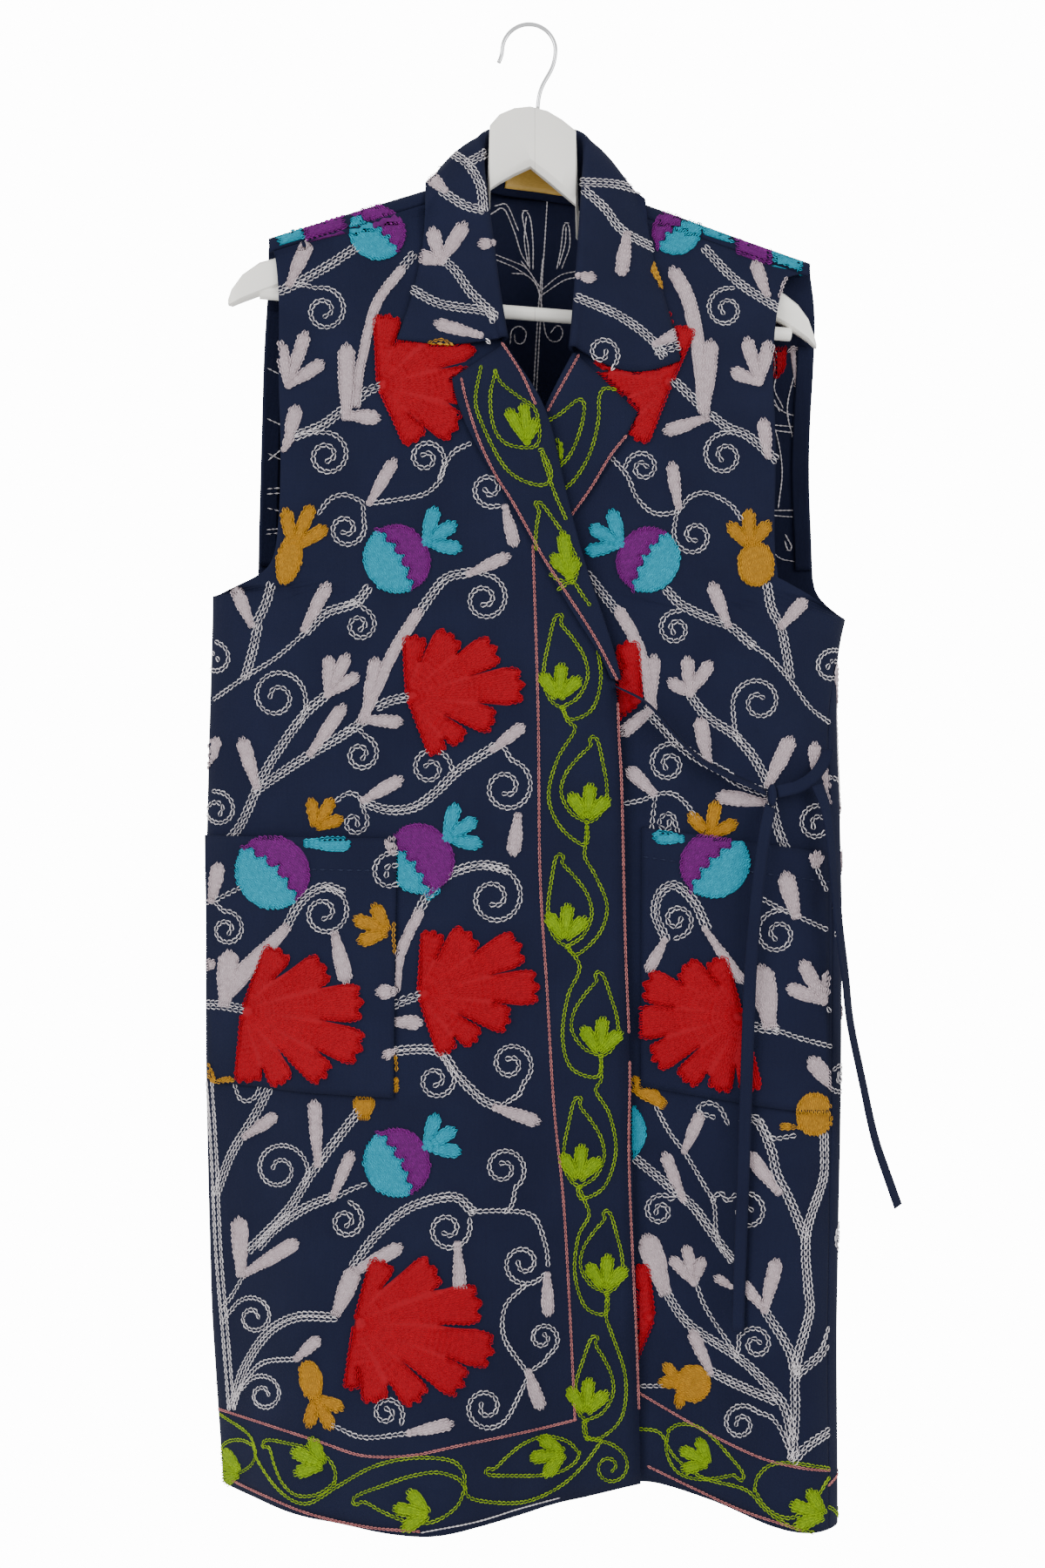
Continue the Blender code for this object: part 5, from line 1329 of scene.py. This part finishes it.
pocket = works_on("pocket_left")
grow(pocket, (
    (2, ((764, 1077), (753, 1050), (757, 1027), (772, 1016), (787, 1024), (800, 1040), (811, 1064))),
    (1, ((764, 1076), (772, 1078)), ((777, 1056), 21, 90, -1.25)),
    (1, ((870, 1029), (894, 1042), (916, 1052), (947, 1066))),
    (1, ((912, 1048), (906, 1044)), ((893, 1072), 28, -70, -1.45)),
    (1, ((946, 1150), (957, 1168))),
    (2, ((859, 1177), (875, 1180), (891, 1182))),
    (1, ((891, 1182), (919, 1192), (957, 1202))),
    (1, ((936, 993), (948, 1020))),
), (
    ((809, 1066), (853, 1128), 13), ((764, 1079), (744, 1115), 14), ((914, 1052), (901, 1002), 21),
    ((884, 1178), (873, 1109), 30), ((946, 1150), (921, 1104), 17), ((946, 1150), (904, 1133), 17),
    ((946, 1150), (951, 1116), 14), ((958, 1249), (930, 1215), 20), ((936, 994), (938, 979), 18),
), (
    ((853, 1166), ((-116, 76, 24), (-140, 92, 24), (-162, 122, 22), (-184, 126, 22), (-206, 118, 20),
                   (-228, 104, 20), (-252, 94, 20), (-276, 90, 20))),
))
pomegranate(pocket, (820, 990), 41, -135)
pocket["cups"].bud((783, 963), (751, 960), 17)
pocket["gold"].patch(oval((935, 1279), 22, 25), 80)
pocket["seams"].stem(((742, 984), (790, 991), (856, 1000), (950, 1012)))
sew_all("left_pocket", pocket)

# ---------------------------------------------------------------- the collar's pattern
# The turned-down collar is cut from the same embroidered cloth, so its stems run off its edges too.
turned_collar = works_on("collar")
grow(turned_collar, (
    (2, ((519, 176), (537, 189), (551, 212), (555, 240))),
    (2, ((557, 176), (538, 187))),
    (2, ((508, 220), (532, 235), (553, 241))),
    (2, ((511, 300), (524, 312), (540, 335), (567, 362))),
    (2, ((473, 332), (506, 349), (557, 357), (567, 366))),
    (1, ((552, 384), (565, 398), (545, 405), (528, 406))),
    (2, ((669, 209), (710, 212), (741, 222))),
    (2, ((672, 219), (695, 240), (715, 265), (757, 288))),
    (2, ((664, 342), (710, 362), (746, 388), (761, 408))),
    (2, ((754, 403), (788, 395))),
    (1, ((692, 431), (704, 424)), ((691, 405), 21, 50, -1.15)),
), (
    ((511, 219), (492, 201), 16), ((506, 301), (496, 262), 17), ((506, 301), (534, 257), 17),
    ((506, 301), (480, 293), 17), ((566, 279), (550, 281), 14), ((552, 385), (500, 371), 15),
    ((720, 268), (713, 317), 17), ((751, 396), (783, 380), 14), ((664, 317), (683, 319), 14),
))
for gold_line in (
    ((494, 393), (506, 390), (518, 394)), ((489, 396), (506, 394), (523, 398)),
):
    turned_collar["gold"].stem(gold_line)
turned_collar["gold"].bud((761, 329), (752, 302), 15)
sew_all("collar", turned_collar)

# ---------------------------------------------------------------- the lapels' pattern
# The top of the leaf band turns over with each lapel. The outer one shows a whole leaf and a vine; the
# other runs under it.
turned = works_on("lapel_over")
turned["green"].stem((
    (569, 427), (563, 455), (567, 490), (581, 509), (607, 514), (618, 508), (619, 488), (613, 468),
    (595, 455), (576, 440), (569, 427),
))
for leaf_tip in ((583, 470), (601, 464), (615, 482)):
    turned["green"].bud((605, 508), leaf_tip, 14)
open_leaf(turned["green"], (657, 668), (618, 578), 0.20, -1)
for leaf_tip in ((646, 612), (634, 637), (662, 641)):
    turned["green"].bud((654, 662), leaf_tip, 16)
turned["green"].stem((
    (552, 422), (546, 460), (555, 490), (576, 531), (595, 549), (619, 557), (631, 552), (632, 538),
    (621, 516), (635, 561), (649, 594),
))
turned["green"].stem((
    (616, 646), (626, 667), (635, 679), (648, 672), (658, 668), (668, 682), (676, 693),
))
turned["pink"].stem(((573, 389), (586, 408), (600, 431), (614, 462)))
turned["pink"].stem((
    (530, 436), (536, 462), (550, 505), (569, 545), (588, 575), (613, 620), (624, 640), (646, 674),
    (682, 730), (710, 783),
))
sew_all("right_lapel", turned)

turned = works_on("lapel_under")
turned["green"].stem((
    (623, 486), (642, 476), (664, 459), (671, 467), (666, 495), (654, 523), (638, 539),
))
turned["green"].bud((641, 534), (638, 505), 16)
turned["green"].stem((
    (705, 447), (694, 446), (688, 457), (687, 483), (678, 519), (661, 549), (642, 566),
))
turned["pink"].stem(((671, 396), (656, 423), (642, 448), (630, 470)))
turned["pink"].stem(((732, 476), (723, 495), (701, 523), (678, 561), (652, 597)))
sew_all("left_lapel", turned)

# ---------------------------------------------------------------- inside the back
# On the wrong side of a chain stitch only a thin straight line shows. These lines are seen through the
# neck and the left armhole, and short ones cross the band that faces the right armhole.
inside = works_on("back")
for inside_line in (
    ((629, 219), (626, 270), (623, 316), (621, 357), (616, 449)), ((623, 300), (618, 357), (613, 440)),
    ((608, 306), (606, 280), (600, 250), (603, 242), (609, 252), (612, 280), (612, 306)),
    ((606, 302), (602, 276), (604, 252)),
    ((640, 306), (644, 286), (647, 262), (651, 256), (654, 264), (654, 284), (646, 306)),
    ((643, 302), (649, 280), (650, 264)), ((565, 291), (588, 300), (604, 308), (618, 327)),
    ((566, 297), (588, 306), (602, 314)), ((565, 245), (578, 240), (590, 265), (598, 290), (606, 304)),
    ((570, 236), (582, 236), (594, 262)), ((623, 332), (644, 316), (667, 311)),
    ((625, 337), (648, 322), (667, 318)), ((590, 314), (604, 316), (616, 328), (622, 350)),
    ((600, 302), (612, 318), (620, 338)),
    ((586, 392), (588, 379), (597, 375), (604, 382), (601, 393), (593, 394), (591, 387)),
    ((624, 368), (627, 384), (634, 392), (643, 390), (646, 380), (640, 374), (634, 380)),
    ((884, 400), (890, 420), (884, 445), (894, 470)), ((889, 400), (895, 420), (889, 445), (898, 466)),
    ((880, 470), (892, 500), (898, 540), (894, 580)), ((912, 430), (904, 470), (912, 510)),
    ((888, 464), (902, 474), (916, 478)), ((888, 488), (912, 490)), ((888, 494), (912, 497)),
    ((889, 586), (916, 586)), ((889, 592), (914, 594)),
    ((903, 616), (909, 628), (905, 632), (902, 624)), ((889, 636), (898, 642), (914, 645)),
):
    inside["wrong_side"].stem(inside_line)
inside["carnations"].patch(((886, 398), (904, 398), (903, 422), (892, 436), (886, 430)), 90)
inside["leaves"].patch(((906, 400), (914, 398), (917, 442), (912, 444)), 85)
sew_all("inside_back", inside)
banded = works_on("facing_right")
for inside_line in (
    ((310, 424), (322, 430)), ((310, 482), (323, 488)), ((311, 526), (323, 516)),
    ((311, 522), (323, 528)), ((310, 561), (324, 560)), ((310, 567), (324, 566)),
    ((310, 584), (322, 587)), ((309, 608), (322, 607)), ((309, 613), (321, 612)),
):
    banded["wrong_side"].stem(inside_line)
sew_all("inside_facing_right", banded)

# ---------------------------------------------------------------- the back's pattern
# The whole back in one even design, the same on both sides of a middle stem: pairs of curling stems,
# carnations and pomegranates rise up it, with the leaf band again along the hem.
outside = works_on("back", "behind")
BACK_MIDDLE = 575.0
STRAIGHT_UP = -90.0
BACK_STEMS = (
    (2, ((600, 1590), (600, 1400), (600, 1150), (600, 900), (600, 640), (600, 330))),
    (2, ((600, 1560), (640, 1520), (690, 1490), (740, 1480), (830, 1450), (890, 1420))),
    (2, ((600, 1440), (650, 1400), (720, 1370), (790, 1360), (850, 1330), (890, 1290))),
    (2, ((600, 1290), (640, 1240), (690, 1215), (740, 1205))),
    (2, ((600, 1130), (650, 1080), (720, 1050), (800, 1040), (855, 1000), (885, 950))),
    (2, ((600, 960), (640, 905), (690, 880), (740, 872))),
    (2, ((600, 800), (640, 745), (690, 715), (745, 705), (820, 690))),
    (2, ((600, 650), (630, 600), (670, 565), (720, 545), (770, 520), (800, 480))),
    (2, ((600, 500), (630, 455), (670, 425), (720, 405), (760, 392))),
    (2, ((600, 380), (640, 330), (690, 305), (740, 300), (800, 318), (840, 360))),
    (1, ((740, 1482),), ((776, 1516), 34, -130, 1.5)),
    (1, ((790, 1362),), ((826, 1400), 34, -130, 1.5)),
    (1, ((740, 1206),), ((776, 1238), 30, -130, 1.5)),
    (1, ((800, 1042),), ((838, 1076), 33, -130, 1.5)),
    (1, ((740, 874),), ((770, 902), 28, -130, 1.5)),
    (1, ((745, 707),), ((782, 738), 30, -130, 1.5)),
    (1, ((720, 407),), ((750, 434), 25, -130, 1.5)),
    (1, ((720, 303), (730, 318)), ((752, 334), 22, 180, -1.3)),
    (1, ((690, 1490), (700, 1450)), ((728, 1440), 24, 150, 1.4)),
    (1, ((720, 1370), (726, 1320)), ((756, 1306), 25, 150, 1.4)),
    (1, ((690, 1215), (700, 1165)), ((728, 1150), 24, 150, 1.4)),
    (1, ((690, 880), (700, 830)), ((728, 816), 25, 150, 1.4)),
    (1, ((650, 1080), (652, 1110)), ((672, 1128), 24, 180, -1.3)),
    (1, ((650, 1400), (654, 1426)), ((676, 1440), 22, 180, -1.3)),
    (1, ((645, 745), (650, 772)), ((674, 784), 24, 180, -1.3)),
)
BACK_BUDS = (
    ((620, 1540), (626, 1480), 17), ((660, 1396), (650, 1340), 17), ((640, 1240), (640, 1180), 17),
    ((660, 1074), (650, 1010), 17), ((640, 905), (640, 846), 17), ((640, 745), (640, 690), 17),
    ((632, 598), (630, 545), 16), ((632, 453), (630, 400), 16), ((628, 342), (640, 292), 15),
    ((760, 1362), (792, 1320), 17), ((800, 480), (800, 430), 17), ((800, 480), (838, 448), 17),
    ((890, 1290), (892, 1236), 18), ((890, 1290), (926, 1260), 18), ((885, 950), (886, 896), 18),
    ((885, 950), (920, 920), 18), ((890, 1420), (930, 1390), 18), ((890, 1420), (936, 1436), 18),
    ((600, 336), (600, 276), 18), ((740, 872), (776, 846), 16), ((820, 690), (850, 650), 16),
    ((820, 690), (866, 690), 16), ((740, 1205), (778, 1180), 16), ((760, 392), (800, 372), 16),
    ((840, 360), (878, 344), 16), ((840, 360), (856, 404), 16), ((800, 318), (830, 290), 15),
)
BACK_CARNATIONS = (
    ((856, 1232), ((-158, 92, 26), (-130, 110, 26), (-102, 126, 26), (-74, 126, 26), (-46, 110, 26),
                   (-18, 92, 26))),
    ((690, 1040), ((-146, 78, 26), (-120, 96, 26), (-92, 108, 26), (-64, 96, 26), (-38, 78, 26))),
    ((850, 880), ((-152, 84, 26), (-124, 100, 26), (-96, 114, 26), (-68, 114, 26), (-40, 96, 26))),
    ((800, 640), ((-150, 70, 26), (-122, 88, 26), (-94, 96, 26), (-66, 88, 26), (-38, 70, 26))),
    ((850, 1600), ((-152, 66, 26), (-124, 84, 26), (-96, 92, 26), (-68, 84, 26), (-40, 66, 26))),
)
BACK_FRUIT = (
    ((700, 1560), 38, -60, (-100, -60, -20)), ((700, 1320), 36, -60, (-100, -60, -20)),
    ((690, 650), 34, -60, (-100, -60, -20)), ((690, 490), 32, -60, (-100, -60, -20)),
)


def mirrored(place, flip):
    return BACK_MIDDLE + (place[0] - CHART_MIDDLE[0]) * flip, place[1]


def mirrored_heading(heading, flip):
    return STRAIGHT_UP + (heading - STRAIGHT_UP) * flip


for flip in (1.0, -1.0):
    stems = []
    for rows, places, *curled in BACK_STEMS:
        ends = [
            (mirrored(centre, flip), radius, mirrored_heading(start, flip), turns * flip)
            for centre, radius, start, turns in curled
        ]
        stems.append((rows, [mirrored(place, flip) for place in places], *ends))
    buds = [(mirrored(base, flip), mirrored(tip, flip), width) for base, tip, width in BACK_BUDS]
    carnations = [
        (mirrored(base, flip), [(mirrored_heading(heading, flip), *size) for heading, *size in lobes])
        for base, lobes in BACK_CARNATIONS
    ]
    grow(outside, stems, buds, carnations)
    for fruit, radius, heading, crown in BACK_FRUIT:
        crown = [mirrored_heading(tip_heading, flip) for tip_heading in crown]
        pomegranate(outside, mirrored(fruit, flip), radius, mirrored_heading(heading, flip), crown)
outside["pink"].stem((
    (220, 1652), (330, 1644), (450, 1634), (575, 1628), (700, 1622), (800, 1612), (912, 1598),
))
# where the band's top edge runs, and the vine and its trefoils below it
BAND_TOP = ((220.0, 575.0, 912.0), (1648.0, 1628.0, 1598.0))
VINE_START = 226.0
VINE_END = 910.0
VINE_STEP = 28.0
VINE_DROP = 38.0
VINE_SWING = 18.0
VINE_WAVE = 76.0
VINE_LEAVES = 9
VINE_LEAF_DROPS = (46.0, 34.0)
VINE_LEAF_SIZE = 38.0
VINE_LEAF_FOOT = 14.0
vine = np.arange(VINE_START, VINE_END, VINE_STEP)
vine_swing = VINE_SWING * np.cos((vine - VINE_START) * np.pi / VINE_WAVE)
outside["green"].stem(np.stack([vine, np.interp(vine, *BAND_TOP) + VINE_DROP + vine_swing], axis=1))
for index in range(VINE_LEAVES):
    leaf_x = VINE_START + VINE_WAVE * (index + 0.5)
    leaf_y = np.interp(leaf_x, *BAND_TOP) + VINE_LEAF_DROPS[index % 2]
    outside["green"].trefoil((leaf_x - VINE_LEAF_FOOT, leaf_y), 0.0, VINE_LEAF_SIZE)
sew_all("back", outside)

# ---------------------------------------------------------------- the back of the collar
# The collar's upper side as it lies behind the neck, cut from the same embroidered cloth.
behind_collar = works_on("collar", "behind")
grow(behind_collar, (
    (2, ((455, 205), (500, 178), (540, 165), (575, 160), (620, 166), (665, 180), (700, 205))),
    (1, ((500, 178),), ((512, 206), 22, -110, 1.3)),
    (1, ((650, 176),), ((640, 204), 22, -70, -1.3)),
), (
    ((540, 166), (520, 132), 15), ((575, 160), (575, 122), 16), ((610, 166), (634, 132), 15),
    ((575, 166), (575, 206), 16),
))
sew_all("back_of_collar", behind_collar)

# ---------------------------------------------------------------- the sides' pattern
# The back comes round the wearer's left side, where a single stem climbs it with a leaf and a curl on
# each bend, above the leaf band. On the right side only the band's pink line goes round the corner.
SIDE_MIDDLE = 578.0
SIDE_BAND_TOP = 1800.0
SIDE_BENDS = 10
SIDE_FOOT = 60.0
SIDE_BEND_GAP = 105.0
SIDE_SWINGS = (-12.0, 12.0)
SIDE_LEAF_WIDTH = 16.0
SIDE_LEAF_FOOT = 34.0
SIDE_LEAF_REACH = 36.0
SIDE_LEAF_TOP = 14.0
SIDE_TOP_LEAF = 56.0
SIDE_TWIG = (-16.0, -10.0)
SIDE_CURL_CENTRE = (-34.0, -32.0)
SIDE_CURL = (21.0, 90.0, 1.35)
SIDE_VINE_START = -104.0
SIDE_VINE_STEP = 26.0
SIDE_VINE_PLACES = 9
SIDE_VINE_DROPS = (28.0, 56.0)
strip = works_on("back", "wearers_left")
bends = [
    (SIDE_MIDDLE + SIDE_SWINGS[index % 2], SIDE_BAND_TOP - SIDE_FOOT - SIDE_BEND_GAP * index)
    for index in range(SIDE_BENDS)
]
strip["stems"].stem(bends, 2)
for index, (bend_x, bend_y) in enumerate(bends[1:-1]):
    flip = 1.0 if index % 2 else -1.0
    leaf_tip = (bend_x + SIDE_LEAF_REACH * flip, bend_y - SIDE_LEAF_TOP)
    strip["leaves"].bud((bend_x, bend_y + SIDE_LEAF_FOOT), leaf_tip, SIDE_LEAF_WIDTH)
    twig, centre = [(bend_x + x * flip, bend_y + y) for x, y in (SIDE_TWIG, SIDE_CURL_CENTRE)]
    radius, start, turns = SIDE_CURL
    strip["stems"].stem(((bend_x, bend_y), twig), 1, (centre, radius, start, turns * flip))
strip["leaves"].bud(bends[-1], (SIDE_MIDDLE, bends[-1][1] - SIDE_TOP_LEAF), SIDE_LEAF_WIDTH)
strip["pink"].stem(((468, 1800), (578, 1800), (688, 1800)))
strip["green"].stem([
    (SIDE_MIDDLE + SIDE_VINE_START + SIDE_VINE_STEP * index, SIDE_BAND_TOP + SIDE_VINE_DROPS[index % 2])
    for index in range(SIDE_VINE_PLACES)
])
sew_all("wearers_left", strip)
strip = works_on("back", "wearers_right")
strip["pink"].stem(((450, 1738), (560, 1738), (670, 1738)))
sew_all("wearers_right", strip)
